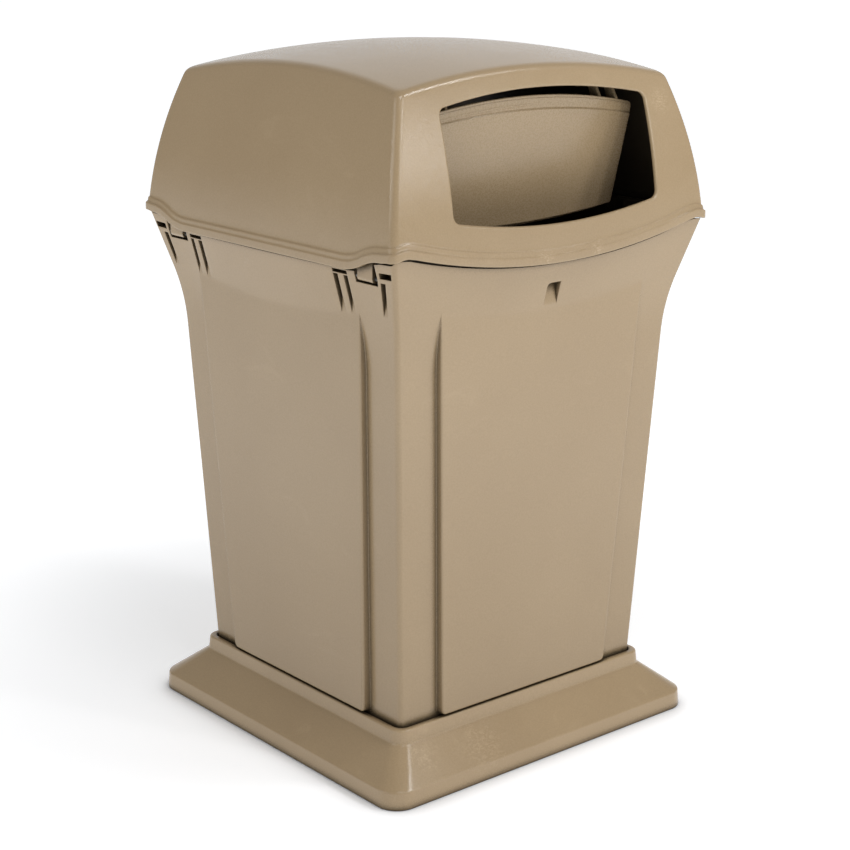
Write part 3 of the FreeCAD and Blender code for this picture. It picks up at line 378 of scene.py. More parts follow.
# painted shade: the insides of body, hood and their bosses take the same beige at a fifth of its brightness, dark as an
# unlit interior
M_INSIDE_SHADE = moulded("inside_painted_shade", tuple(c * 0.20 for c in BEIGE), tuple(c * 0.18 for c in BEIGE_SHADE), rough=0.6, flow=0.0)
M_BRACKET = moulded("bracket_plastic", (0.33, 0.27, 0.18), (0.31, 0.25, 0.165), rough=0.5, flow=0.2)
M_BUSH = moulded("bush_plastic", (0.62, 0.60, 0.55), (0.56, 0.54, 0.49), rough=0.4, flow=0.2)
M_ZINC = zinc("zinc_steel")


# ------------------------------------------------------------------ pedestal
def make_pedestal():
    prof = rounded_path(
        [(90, 70), (247.0, 70), (248.0, 94.0), (258.0, 94.0), (260.0, 72.0), (313.4, 27.5), (315.0, 0.0),
         (307.0, 0.0), (305.0, 20.0), (250.0, 64.0), (90, 64)],
        [0, 2.0, 2.0, 3.4, 4.5, 4.5, 1.5, 1.5, 6.0, 6.0, 0], seg=7)
    ts = np.concatenate([[-1, -0.985, -0.95], np.linspace(-0.86, 0.86, 15), [0.95, 0.985, 1]])
    phis = np.radians(np.linspace(0, 90, 15)[1:-1])
    A, B, _ = ring_columns([ts] * 4, phis)
    rows = []
    for h, z in prof:
        r = 20.0 + (h - 258.0) * (0.29 if h > 258 else 0.55)
        r = max(r, 6.0)
        xy = h * A + r * B
        rows.append(np.column_stack([xy, np.full(len(xy), z)]))
    sk = Skin()
    k = sk.grid(np.array(rows), closed=True)
    sk.fan(k[0], (0, 0, 70))
    sk.fan(k[-1], (0, 0, 64))
    return sk.build("pedestal_skin", [M_BASE])


# ------------------------------------------------------------------ body
P_FACE, P_LEVEL, P_SLOPE = 257.2, 100.0, 0.0465
C_LOW, C_SLOPE, C_TOP = 172.5, 0.0505, 204.3
P_BOTTOM = 96.5
K45 = 1 - math.sqrt(0.5)


def panel_half(z):
    return np.minimum(C_LOW + C_SLOPE * (np.asarray(z, float) - 100.0), C_TOP)


def body_depth(a, s, z, drop=0.0):
    """Outward distance of the body's wall at lateral place s (a = |s|) and level z, without pockets."""
    w = body_half(z) - drop
    r = BODY_R - drop
    bow = 4.2 * smooth_step(640, 715, z) * (1 - np.clip(a / 222.0, 0, 1) ** 2)
    flat = w + bow
    over = np.clip(a - (w - r), 0, r)
    base = np.where(a > w - r, w - r + np.sqrt(np.maximum(r * r - over ** 2, 0)), flat)
    c = panel_half(z) - drop
    zb = P_BOTTOM + drop
    e = a - c
    dz = zb - z
    q = 8.0
    near = (e > -q) & (dz > -q)
    e = np.where(near, np.hypot(np.maximum(e + q, 0), np.maximum(dz + q, 0)) - q, np.maximum(e, dz))
    h = P_FACE + P_SLOPE * (z - P_LEVEL) - drop - flat
    h = 0.5 * (h + np.sqrt(h * h + 0.35))
    r1, r2 = np.minimum(3.2, 0.45 * h), np.minimum(1.4, 0.45 * h)
    i1 = np.clip(e + r1, 0, r1)
    i2 = np.clip(0.6 + r2 - e, 0, r2)
    top = h - (r1 - np.sqrt(np.maximum(r1 ** 2 - i1 ** 2, 0)))
    foot = r2 - np.sqrt(np.maximum(r2 ** 2 - i2 ** 2, 0))
    mid = (h - r1) + (r2 - (h - r1)) * np.clip(e / 0.6, 0, 1)
    add = np.where(e <= 0, top, np.where(e < 0.6, mid, foot))
    return base + np.where(a > w - r + 2, 0, add)


def edges_at(e, inside):
    """Lines that make a crisp but rounded pocket edge at e; inside is +1 where the pocket lies above e."""
    return [e + inside * d for d in (-1.1, -0.65, -0.3, -0.05, 0.05)]


SIDE_IN = sorted([0, 22, 46, 70, 94, 118, 140, 158] + edges_at(171, 1) + [176] + edges_at(181, -1) + [188] + edges_at(194.5, 1) + [197.5])
SIDE_NEAR = sorted([22, 46, 70, 94, 118, 136, 150] + edges_at(164, 1) + [169] + edges_at(174, -1) + [181] + edges_at(187.5, 1) + [192] + edges_at(196, -1) + [198.6])
RIM_OFF = [-5.2, -3.2, -2.7, -2.1, -1.25, -1.15, -0.85, -0.4, -0.1, 0.0, 0.6, 0.9, 1.4, 2.0, 2.8, 3.6, 4.2, 6.0]
SIDE_OUT = sorted(edges_at(214, 1) + [222, 240, 256] + edges_at(264, -1) + edges_at(270.5, 1) + [276] + edges_at(281, -1)
                  + [286, 290.5, 293.6] + edges_at(295, -1) + [296.4, 297.4, 298.4])
FRONT_IN = sorted([-197.5, -180, -155, -125, -95, -65, -42, -22] + edges_at(-6, 1) + [-3.8, -1.6, 1, 4, 7, 11, 15] + edges_at(20, -1)
                  + [28, 42, 65, 95, 125, 155, 180, 197.5])
FRONT_OUT = [213, 225, 240, 256, 270, 280, 286, 290.5, 292.8, 294.4, 295.6, 296.6, 297.5, 298.4]
S785 = float(body_half(785.0)) - BODY_R * K45


def lateral_lines(face):
    """(kind, value) of each lateral line of a face, from one corner to the other."""
    if face in (1, 3):
        inner = [("in", -v) for v in reversed(SIDE_IN) if v > 0] + [("in", 0)] + [("in", v) for v in SIDE_NEAR]
        out = SIDE_OUT
    else:
        # the catch stands a little to one side of the middle, the same way round on both ends
        inner = [("in", v) for v in FRONT_IN]
        out = FRONT_OUT
    off = RIM_OFF
    left = [("out", -v) for v in reversed(out)] + [("off", -1, v) for v in reversed(off)]
    right = [("off", 1, v) for v in off] + [("out", v) for v in out]
    return left + inner + right


def line_at(line, z):
    c = panel_half(z)
    sm = body_half(z) - BODY_R * K45
    if line[0] == "in":
        return line[1] * c / C_TOP
    if line[0] == "off":
        return line[1] * (c + line[2])
    v = abs(line[1])
    ratio = np.where(z < 785, (sm - c) / (S785 - C_TOP), 1.0)
    y = c + (v - C_TOP) * ratio
    y = y + np.where(z >= 785, (sm - S785) * np.clip((v - 281.0) / (298.4 - 281.0), 0, 1), 0)
    if v >= 298.4:
        y = sm + 0 * y
    return math.copysign(1, line[1]) * y


# pockets: lateral from, to, level from, to (levels above 775 in the stretched measure), depth plane
SIDE_POCKETS = [(164, 174, 660, 790.0, 286.4), (187.5, 196, 660, 790.0, 286.4), (-181, -171, 660, 790.0, 286.4), (-203.1, -194.5, 660, 790.0, 286.4),
                (270.5, 281, 660, 781.9, 286.6), (-281, -270.5, 660, 781.9, 286.6), (164, 196, 796.9, 809.8, 283.0), (-203.1, -171, 796.9, 809.8, 283.0),
                (270.5, 295, 790.0, 799.7, 287.0), (-295, -270.5, 790.0, 799.7, 287.0), (214, 264, 775.0, 900, 287.0), (-264, -214, 775.0, 900, 287.0)]
FRONT_POCKETS = [(-6, 20, 690, 748.0, 282.5)]


def make_body():
    plain = [70, 78, 86, 90.5, 91.6, 92.4, 93.2, 94.2, 95.2, 95.9, 96.2, 96.5, 97.0, 97.7, 98.6, 99.7, 101.5, 104.5, 110, 118]
    plain += list(np.linspace(140, 600, 12)) + [622, 640, 655, 668, 680]
    plain += list(np.arange(690, 745, 3.0)) + [746.3, 747.4, 747.7, 747.95, 748.05, 748.3, 749.1] + list(np.arange(752, 771, 3.0)) + [773.0]
    up = []
    for e in (775.0, 781.9, 790.0, 796.9, 799.7, 809.8):
        up += [e - 1.4, e - 0.7, e - 0.12, e + 0.12, e + 0.7, e + 1.4]
    up += [778.5, 786, 793.4, 804.7, 812.5, 815.0]
    up = sorted(u for u in up)
    low_up = [u for u in up if u < 775]
    plain = sorted(plain + low_up)
    up = [u for u in up if u >= 775]
    levels = np.array(plain + up)
    inner_levels = np.array([831, 818, 806, 800, 790, 778, 764, 757, 749, 740, 730, 724, 718, 708, 694, 670, 640, 600, 540, 460, 380, 300, 220,
                             150, 118, 108, 103, 98, 90, 76.0])
    cols = []
    for face, (n, t) in enumerate(FACES):
        n, t = np.array(n, float), np.array(t, float)
        pockets = SIDE_POCKETS if face in (1, 3) else FRONT_POCKETS
        for line in lateral_lines(face)[:-1]:
            v = abs(line[1]) if line[0] != "off" else C_TOP + line[2]
            open_by = 3.4
            if face in (0, 2):
                sv = math.copysign(v, line[1])
                open_by += float(2.0 * smooth_step(0.0, 150.0, sv) * (1 - smooth_step(215.0, 265.0, sv)))
            G = 0.95 if v >= 298.4 else float((wave_of(face, v) - open_by - 775.0) / 40.0)
            z = np.where(levels < 775, levels, 775 + (levels - 775) * G)
            s = np.array([float(line_at(line, zz)) for zz in z])
            a = np.abs(s)
            d = body_depth(a, s, z)
            # pockets
            sl = np.full_like(s, (C_TOP + line[2]) * line[1] if line[0] == "off" else line[1])
            d0 = d.copy()
            for y0, y1, l0, l1, back in pockets:
                zl0 = l0 if l0 < 775 else 775 + (l0 - 775) * G
                zl1 = l1 if l1 < 775 else 775 + (l1 - 775) * G
                dx = np.maximum(y0 - sl, sl - y1)
                inz = (levels > l0) & (levels < l1)
                dzv = np.where(inz, -1.0, np.maximum(zl0 - z, z - zl1))
                if face in (0, 2) and y0 == -6:
                    # rounded upper corner of the catch
                    q = 7.0
                    ex, ez = (y0 + q) - sl, z - (l1 - q)
                    corner = (ex > 0) & (ez > 0)
                    dx = np.where(corner, np.hypot(np.maximum(ex, 0), np.maximum(ez, 0)) - q, dx)
                    dzv = np.where(corner & (levels < l1), -1.0, dzv)
                inside = (dx < 0) & (dzv < 0)
                gap = np.hypot(np.maximum(dx, 0), np.maximum(dzv, 0))
                if face in (0, 2):
                    # the catch's floor runs out towards its lower end
                    back = back + 0.13 * np.maximum(l1 - z, 0)
                re = np.clip((d0 - back) * 0.5, 0, 1.0)
                bite = np.where(gap < re, re - np.sqrt(np.maximum(re ** 2 - (re - gap) ** 2, 0)), 0)
                d = np.where(inside, np.minimum(d, back), np.minimum(d, d0 - bite))
            P = [np.column_stack([np.outer(d, n) + np.outer(s, t), z])]
            # neck above the rim line
            zt = z[-1]
            sn = s[-1]
            if abs(sn) > 281:
                sm = float(body_half(zt)) - BODY_R * K45
                sn = math.copysign(281 + (abs(sn) - 281) * (295.57 - 281) / (sm - 281), sn)
            an = abs(sn)
            dn = 298.5 if an <= 288.5 else 288.5 + math.sqrt(max(100 - (an - 288.5) ** 2, 0))
            rec = face in (1, 3) and 214 < v < 264
            dn = 287.0 if rec else dn
            for zz, cut in ((zt + 0.1, 0), (zt + 0.5 * (830.5 - zt), 0), (830.5, 0), (831.5, 0.4), (832.0, 1.4)):
                P.append(np.column_stack([np.outer([dn - cut], n) + np.outer([sn], t), [zz]]))
            # inside
            zi = inner_levels
            si = np.array([float(line_at(line, zz)) for zz in zi])
            smo = body_half(zi) - BODY_R * K45
            smi = body_half(zi) - 6.0 - (BODY_R - 6.0) * K45
            si = si * smi / smo
            ai = np.abs(si)
            di = body_depth(ai, si, zi, drop=6.0)
            di = np.where(ai < 290, np.minimum(di, 292.5), di)
            lim = 292.5 - 4.0 * K45
            top_in = np.minimum(np.abs(si), lim)
            si = np.sign(si) * np.where(zi > 800, np.minimum(np.abs(si), lim), np.abs(si))
            di = np.where((zi > 800) & (top_in > 288.5), np.minimum(di, 288.5 + np.sqrt(np.maximum(16 - (top_in - 288.5) ** 2, 0))), np.minimum(di, 292.5))
            if face in (1, 3):
                wgt = smooth_step(150, 160, ai) * smooth_step(716, 726, zi)
                di = np.where(ai < 286, di + (np.minimum(di, 280.5) - di) * wgt, di)
            else:
                wgt = (np.abs(si - 7) < 22) & (zi > 702) & (zi < 758)
                di = np.where(wgt, np.minimum(di, 276.5), di)
            P.append(np.column_stack([np.outer([dn - 5.0], n) + np.outer([min(abs(sn), 291.5) * (1 if sn >= 0 else -1)], t), [832.0]]))
            P.append(np.column_stack([np.outer(di, n) + np.outer(si, t), zi]))
            cols.append(np.vstack(P))
    G3 = np.array(cols).transpose(1, 0, 2)
    n_out = len(levels) + 5
    # inside rows take the painted-shade inside material
    mats = np.array([0] * n_out + [1] * (len(G3) - n_out - 1))
    sk = Skin()
    k = sk.grid(G3, closed=True, mat=mats)
    sk.fan(k[0], (0, 0, 70))
    sk.fan(k[-1], (0, 0, 76), 1)
    return sk.build("container_skin", [M_BODY, M_INSIDE_SHADE])


# ------------------------------------------------------------------ hood
O_HALF, O_TS, O_TM, O_LS, O_LM, O_R = 206.0, 1012.0, 1031.5, 858.0, 838.5, 13.0
O_LEFT = 0.971


def opening_contour(nb=34, ns=16, nf=4):
    """Closed contour of a door opening as (x, z): bottom, right side, top, left side, each from corner middle to corner middle."""
    def corner(z_side, z_mid, sign):
        m = 2 * (z_side - z_mid) / O_HALF * sign
        k = math.sqrt(1 + m * m)
        zc = z_side - sign * m * O_R + sign * O_R * k
        return zc, math.atan2(1, m)
    zcl, al = corner(O_LS, O_LM, 1)
    zct, at = corner(O_TS, O_TM, -1)
    xc = O_HALF - O_R

    def arc(zc, sgx, sgz, a0, a1):
        return [(sgx * (xc + O_R * math.cos(a)), zc + sgz * O_R * math.sin(a)) for a in np.linspace(a0, a1, nf + 1)]
    xt = xc + O_R * math.cos(al)
    low = [(x, O_LM + (O_LS - O_LM) * (x / O_HALF) ** 2) for x in np.linspace(-xt, xt, nb + 1)]
    xt2 = xc + O_R * math.cos(at)
    top = [(x, O_TM + (O_TS - O_TM) * (x / O_HALF) ** 2) for x in np.linspace(xt2, -xt2, nb + 1)]
    right = [(O_HALF, z) for z in np.linspace(zcl, zct, ns + 1)]
    left = [(-O_HALF, z) for z in np.linspace(zct, zcl, ns + 1)]
    ml, mt = al / 2, at / 2
    bottom = arc(zcl, -1, -1, ml, al)[:-1] + low[:-1] + arc(zcl, 1, -1, al, ml)[:-1]
    rs = arc(zcl, 1, -1, ml, 0)[:-1] + right[:-1] + arc(zct, 1, 1, 0, mt)[:-1]
    tp = arc(zct, 1, 1, mt, at)[:-1] + top[:-1] + arc(zct, -1, 1, at, mt)[:-1]
    ls = arc(zct, -1, 1, mt, 0)[:-1] + left[:-1] + arc(zcl, -1, -1, 0, ml)[:-1]
    sides = [np.array(v) for v in (bottom, rs, tp, ls)]
    for v in sides:
        v[:, 0] = np.where(v[:, 0] < 0, v[:, 0] * O_LEFT, v[:, 0])
    return sides


def make_hood():
    bottom, rs, tp, ls = opening_contour()
    nx, nz = len(bottom), len(rs)
    contour = np.vstack([bottom, rs, tp, ls])
    # outward direction of the contour in its own plane
    tang = np.roll(contour, -1, 0) - np.roll(contour, 1, 0)
    tang /= np.linalg.norm(tang, axis=1)[:, None]
    away = np.column_stack([tang[:, 1], -tang[:, 0]])
    t_win = 0.815
    bx = np.append(bottom[:, 0], rs[0, 0])
    win = t_win * bx / bx[-1]
    front_ts = np.concatenate([[-1, -0.985, -0.955, -0.91, -0.86], win, [0.86, 0.91, 0.955, 0.985, 1]])
    ja = 5
    half_side = [0.0, 0.12, 0.24, 0.36, 0.47, 0.55] + list(np.linspace(0.60, 0.96, 25)) + [0.985, 1.0]
    side_ts = np.array([-v for v in reversed(half_side[1:])] + half_side)
    HR = 11.5
    phis = np.radians(np.linspace(0, 90, 11)[1:-1])
    A, B, info = ring_columns([front_ts, side_ts, front_ts, side_ts], phis)
    ncol = len(A)
    zlow = np.zeros(ncol)
    for i, (k, kind, p) in enumerate(info):
        if kind == "flat":
            zlow[i] = float(wave_of(k, p * 303.0))
        else:
            za, zb = float(wave_of(k, 303.0)), float(wave_of((k + 1) % 4, 303.0))
            zlow[i] = za + (zb - za) * p / (math.pi / 2) - 1.2 * math.sin(2 * p)

    def ring(half, r, z):
        half = np.broadcast_to(half, (ncol,))
        xy = half[:, None] * A + np.asarray(r).reshape(-1, 1) * B
        return np.column_stack([xy, np.broadcast_to(z, (ncol,))])

    def edge_level(drop):
        z = np.full(ncol, 1050.0)
        for _ in range(40):
            xy = (hood_half(z) - drop)[:, None] * A + (HR - drop) * B
            z = crown(xy, drop)
        return z

    fs = np.append(rs[:, 1], tp[0, 1])
    f_win = 0.055 + (0.955 - 0.055) * (fs - fs[0]) / (fs[-1] - fs[0])
    f_lines = np.concatenate([[0.0, 0.02], f_win, [0.975, 1.0]])
    ia = 2

    def wall(drop):
        ze = edge_level(drop)
        z0, za = zlow + 24.0, ze - (9.0 - 0.4 * drop)
        rows = []
        for f in f_lines:
            z = z0 + (za - z0) * f
            rows.append(ring(hood_half(z) - drop, HR - drop, z))
        # rounding between wall and crown
        start = rows[-1]
        xy = (hood_half(ze) - drop)[:, None] * A + (HR - drop) * B
        E = np.column_stack([xy, ze])
        n_e = np.linalg.norm(xy, axis=1)
        lam = 1 - 10.5 / np.max(np.abs(xy), axis=1)
        xyb = xy * lam[:, None]
        end = np.column_stack([xyb, crown(xyb, drop)])
        bend = []
        for w in np.linspace(0, 1, 8)[1:]:
            bend.append((1 - w) ** 2 * start + 2 * w * (1 - w) * E + w ** 2 * end)
        dome = []
        for q in (0.985, 0.955, 0.90, 0.82, 0.72, 0.60, 0.48, 0.36, 0.24, 0.12, 0.04):
            xyq = xyb * q
            dome.append(np.column_stack([xyq, crown(xyq, drop)]))
        return rows, bend, dome

    o_rows, o_bend, o_dome = wall(0.0)
    i_rows, i_bend, i_dome = wall(5.0)
    win_in = [ring(hood_half(zlow + h) - 5.0 + x, HR - 5.0 + 1.0, zlow + h) for h, x in ((14.0, 0), (6.0, 0), (1.0, 0.0), (0.0, 1.0))]
    rim = []
    for h, fix, add, cap in ((0.0, 315.6, 0, 0), (0.35, 316.5, 0, 0), (1.0, 316.9, 0, 0), (1.9, 317.0, 0, 0), (3.2, 317.0, 0, 0), (10.4, 317.0, 0, 0), (11.4, 316.9, 0, 0),
                             (12.3, 316.45, 0, 0), (13.0, 0, 3.3, 316.0), (13.6, 0, 2.5, 315.75), (14.6, 0, 2.0, 315.55), (16.0, 0, 1.85, 315.45), (18.8, 0, 1.8, 315.4),
                             (19.9, 0, 1.6, 315.2), (20.8, 0, 1.05, 314.9), (21.5, 0, 0.45, 400), (22.3, 0, 0.12, 400)):
        z = zlow + h
        w = hood_half(z)
        half = np.full(ncol, fix) if fix else np.minimum(w + add, cap)
        rim.append(ring(half, 13.5 if h < 13 else 12.5, z))
    rows = i_dome[::-1] + i_bend[::-1] + i_rows[::-1] + win_in + rim + o_rows + o_bend + o_dome
    G = np.array(rows)
    R = len(G)
    n_i = len(i_dome) + len(i_bend)
    i_top = n_i                      # row of f = 1 inside
    o_first = n_i + len(i_rows) + len(win_in) + len(rim)
    keep = np.ones((R - 1, ncol), bool)
    starts = [0, len(front_ts) + len(phis) + len(side_ts) + len(phis)]
    nf_rows = len(f_lines)
    for c0 in starts:
        keep[o_first + ia:o_first + ia + nz, c0 + ja:c0 + ja + nx] = False
        r_hi = i_top + (nf_rows - 1 - (ia + nz))
        keep[r_hi:r_hi + nz, c0 + ja:c0 + ja + nx] = False
    # inside rows and the opening's return take the painted-shade inside material
    mats = np.array([1] * (n_i + len(i_rows) + len(win_in) - 1) + [0] * (R - n_i - len(i_rows) - len(win_in)))
    sk = Skin()
    k = sk.grid(G, closed=True, keep=keep, mat=mats)
    sk.fan(k[0], (0, 0, 1080.5), 1)
    sk.fan(k[-1], (0, 0, 1085.5))

    for face, c0 in zip((0, 2), starts):
        n, t = np.array(FACES[face][0], float), np.array(FACES[face][1], float)

        def loop_of(row_of):
            lo, hi = row_of(ia), row_of(ia + nz)
            idx = [k[lo, c0 + ja + j] for j in range(nx)]
            idx += [k[row_of(ia + i), c0 + ja + nx] for i in range(nz)]
            idx += [k[hi, c0 + ja + nx - j] for j in range(nx)]
            idx += [k[row_of(ia + nz - i), c0 + ja] for i in range(nz)]
            return idx

        def place(xz, depth):
            z = xz[:, 1]
            d = hood_half(z) - depth
            return np.column_stack([np.outer(d, n)[:, :2] + np.outer(xz[:, 0], t), z])
        flatP = G.reshape(-1, 3)
        base = k[0, 0]
        outer = loop_of(lambda f: o_first + f)
        inner = loop_of(lambda f: i_top + (nf_rows - 1 - f))

        def flat(idx):
            P = flatP[np.array(idx) - base]
            return np.column_stack([P[:, :2] @ t, P[:, 2]])
        RE = 3.2
        loops = []
        ob2, ib2 = flat(outer), flat(inner)
        goal = contour + away * RE
        for w in (0.3, 0.6, 0.82, 0.94, 1.0):
            loops.append((place(ob2 + (goal - ob2) * w, 0.0), 0))
        for a in np.radians([18, 36, 54, 72, 90]):
            loops.append((place(contour + away * RE * (1 - math.sin(a)), RE * (1 - math.cos(a))), 0))
        loops.append((place(contour, 4.2), 0))
        loops.append((place(contour + away * 0.25, 4.75), 1))
        goal_in = contour + away * 0.8
        loops.append((place(goal_in, 5.0), 1))
        for w in (0.88, 0.6, 0.3):
            loops.append((place(ib2 + (goal_in - ib2) * w, 5.0), 1))
        prev = outer
        for P, mm in loops:
            first = sk.points(P)
            cur = list(range(first, first + len(P)))
            m = len(P)
            sk.faces([[prev[i], prev[(i + 1) % m], cur[(i + 1) % m], cur[i]] for i in range(m)], mm)
            prev = cur
        m = len(prev)
        sk.faces([[prev[i], prev[(i + 1) % m], inner[(i + 1) % m], inner[i]] for i in range(m)], 1)

    # bosses for the door brackets, under the crown
    for sx in (-1, 1):
        for sy in (-1, 1):
            for off in (-30.0, 30.0):
                x, y = sx * (169.5 + off), sy * 212.7
                top = float(crown(np.array([x, y]), 2.5))
                ang = np.linspace(0, 2 * math.pi, 25)[:-1]
                rr = []
                for rad, z in ((6.2, 1046.0), (6.8, 1046.35), (7.0, 1047.0), (7.0, top - 6), (7.6, top - 3.6), (9.0, top - 2.0), (9.0, top)):
                    rr.append(np.column_stack([x + rad * np.cos(ang), y + rad * np.sin(ang), np.full(24, z)]))
                kk = sk.grid(np.array(rr), closed=True, mat=1)
                sk.cap(list(kk[0])[::-1], 1)
                sk.cap(list(kk[-1]), 1)
    # seats for the tongues and rests over the body's top edge
    for sx in (-1, 1):
        for sy in (-1, 1):
            soft_box(sk, (sx * 304.0, sx * 309.0), (sy * 218.0, sy * 260.0), (815.0, 846.0), 1.0, 1)
            soft_box(sk, (sx * 284.0, sx * 307.0), (sy * 284.0, sy * 307.0), (832.6, 841.0), 1.2, 1)
    return sk.build("hood_skin", [M_HOOD, M_INSIDE_SHADE])


def soft_box(sk, xs, ys, zs, r, mat=0):
    """A block with rounded edges, as rings from bottom to top."""
    x0, x1 = sorted(xs)
    y0, y1 = sorted(ys)
    z0, z1 = zs

    def ring(inset, z):
        rc = max(r - inset, 0.15)
        pts = []
        for cx, cy, a0 in ((x1 - r, y1 - r, 0), (x0 + r, y1 - r, 90), (x0 + r, y0 + r, 180), (x1 - r, y0 + r, 270)):
            for a in np.radians(np.linspace(a0, a0 + 90, 5)):
                pts.append((cx + rc * math.cos(a), cy + rc * math.sin(a), z))
        return pts
    rows = [ring(r * (1 - math.sin(a)), z0 + r * (1 - math.cos(a))) for a in np.radians([0, 30, 60, 90])]
    rows += [ring(r * (1 - math.cos(a)), z1 - r + r * math.sin(a)) for a in np.radians([0, 30, 60, 90])]
    kk = sk.grid(np.array(rows), closed=True, mat=mat)
    sk.cap(list(kk[0])[::-1], mat)
    sk.cap(list(kk[-1]), mat)


# ------------------------------------------------------------------ doors
D_OUT, D_LEVEL, D_HANG = 212.7, 1030.0, math.radians(13.2)


def make_door(name, turn):
    ct, st = math.cos(D_HANG), math.sin(D_HANG)

    def world(x, y, zl):
        """x along the door, y out through it, zl below the pivot; turned about the vertical for the rear door."""
        x, y, zl = np.broadcast_arrays(np.asarray(x, float), np.asarray(y, float), np.asarray(zl, float))
        yw = -D_OUT + y * ct + zl * st
        zw = D_LEVEL + y * st - zl * ct
        return np.stack([turn * x, turn * yw, zw], -1)

    def arch_top(x):
        return 23.1 - (np.sqrt(1256.0 ** 2 - x * x) - math.sqrt(1256.0 ** 2 - 215.0 ** 2))

    def arch_band(x):
        return 28.0 - (np.sqrt(1060.0 ** 2 - x * x) - math.sqrt(1060.0 ** 2 - 215.0 ** 2))

    def arch_low(x):
        return 192.0 + (np.sqrt(1553.0 ** 2 - x * x) - math.sqrt(1553.0 ** 2 - 211.0 ** 2))

    def half_at(level):
        return 221.0 - 4.0 * (level - 23.1) / 168.9
    qs_edge = [0, 0.25, 0.8, 1.6, 2.6, 3.6, 4.8, 6.0, 8.0, 12.0]
    n_mid = 40
    BACK = -29.1
    # rows: (kind, value): from the top edge, about the step, along the panel, from the bottom edge
    rows = [("top", v) for v in (0.0, 0.25, 0.7, 1.3, 3.0, 3.6, 3.9, 4.2, 4.6, 5.4, 8.0, 11.0, 11.6, 12.0, 12.4, 13.0, 14.6, 15.2, 15.6, 16.0, 16.6, 18.0)]
    rows += [("step", v) for v in (-1.3, -0.9, -0.45, 0.0, 0.25, 0.6, 1.1, 1.7, 2.4, 4.5)]
    rows += [("span", v) for v in np.linspace(0.05, 0.95, 16)]
    rows += [("low", v) for v in (5.0, 3.2, 2.4, 1.6, 0.9, 0.35, 0.0)]
    grid, back = [], []
    xs_ref = None
    for kind, v in rows:
        # lateral places, measured from the edges
        lev = {"top": 23.1 + v, "step": 43.6 + v, "span": 50 + 140 * v, "low": 192.0 - v}[kind]
        h = half_at(lev)
        edge = np.array(qs_edge)
        x = np.concatenate([-(h - edge), np.linspace(-(h - 24), h - 24, n_mid), (h - edge)[::-1]])
        q = h - np.abs(x)
        rt, rs_, rl = 9.0, 5.5, 6.0
        round_top = np.where(q < rt, rt - np.sqrt(np.maximum(rt ** 2 - (rt - q) ** 2, 0)), 0)
        round_step = np.where(q < rs_, rs_ - np.sqrt(np.maximum(rs_ ** 2 - (rs_ - q) ** 2, 0)), 0)
        round_low = np.where(q < rl, rl - np.sqrt(np.maximum(rl ** 2 - (rl - q) ** 2, 0)), 0)
        top = arch_band(x) + round_top
        step = arch_top(x) + 20.5 + round_step
        low = arch_low(x) - round_low
        if kind == "top":
            zl = np.minimum(top + v, step - 1.6 - 0.02 * (20 - v))
        elif kind == "step":
            zl = step + v
        elif kind == "span":
            zl = (step + 4.5) + ((low - 5.0) - (step + 4.5)) * (v - 0.0) / 1.0
        else:
            zl = low - v
        # depth without edge rounding
        if kind == "top":
            y = np.full_like(x, -32.5)
            if v < 3.9:
                y += 1.1
            elif v < 4.5:
                y += 1.1 * (4.5 - v) / 0.6 * 0.3
            fade = 1 - smooth_step(-90.0, 70.0, x)
            for at in (12.0, 15.6):
                y -= 0.55 * fade * np.exp(-((v - at) / 0.42) ** 2)
            if v < 1.3:
                y += 1.2 - math.sqrt(max(1.44 - (1.2 - min(v, 1.2)) ** 2, 0))
        elif kind == "step":
            if v < 0:
                y = np.full_like(x, -32.5)
            else:
                y = np.full_like(x, -32.5 - 2.6 * min(v, 2.4) / 2.4)
        elif kind == "low":
            rr = 2.4
            y = np.full_like(x, -35.1 + (rr - math.sqrt(max(rr * rr - (rr - min(v, rr)) ** 2, 0))))
        else:
            y = np.full_like(x, -35.1)
        re = np.maximum(BACK - y, 0.3)
        soft = np.minimum(re, 6.0)
        drop = np.where(q < soft, soft - np.sqrt(np.maximum(soft ** 2 - (soft - q) ** 2, 0)), 0)
        y = np.minimum(y + drop, BACK)
        y[0] = y[-1] = BACK
        grid.append(world(x, y, zl))
        back.append(world(x, np.full_like(x, BACK), zl))
    sk = Skin()
    G = np.array(grid)
    Bk = np.array(back)
    sk.grid(G)
    sk.grid(Bk[::-1])
    sk.grid(np.array([Bk[0], G[0]]))
    sk.grid(np.array([G[-1], Bk[-1]]))
    # bottom flange with a lip behind it
    prof = rounded_path([(-29.6, -4.0), (-16.1, -4.0), (-16.1, 10.0), (-19.1, 10.0), (-19.1, -0.4), (-29.6, -0.4)],
                        [0, 1.0, 1.1, 1.1, 1.0, 0], seg=3, rest=1.5)
    hl = half_at(192.0) - 6.0
    xs = np.concatenate([np.linspace(-hl, hl, 44)])
    cols = []
    for x in xs:
        zl = float(arch_low(np.array(x)))
        cols.append(world(np.full(len(prof), x), prof[:, 0], zl + prof[:, 1]))
    kk = sk.grid(np.array(cols), closed=True)
    sk.cap(list(kk[0]))
    sk.cap(list(kk[-1])[::-1])
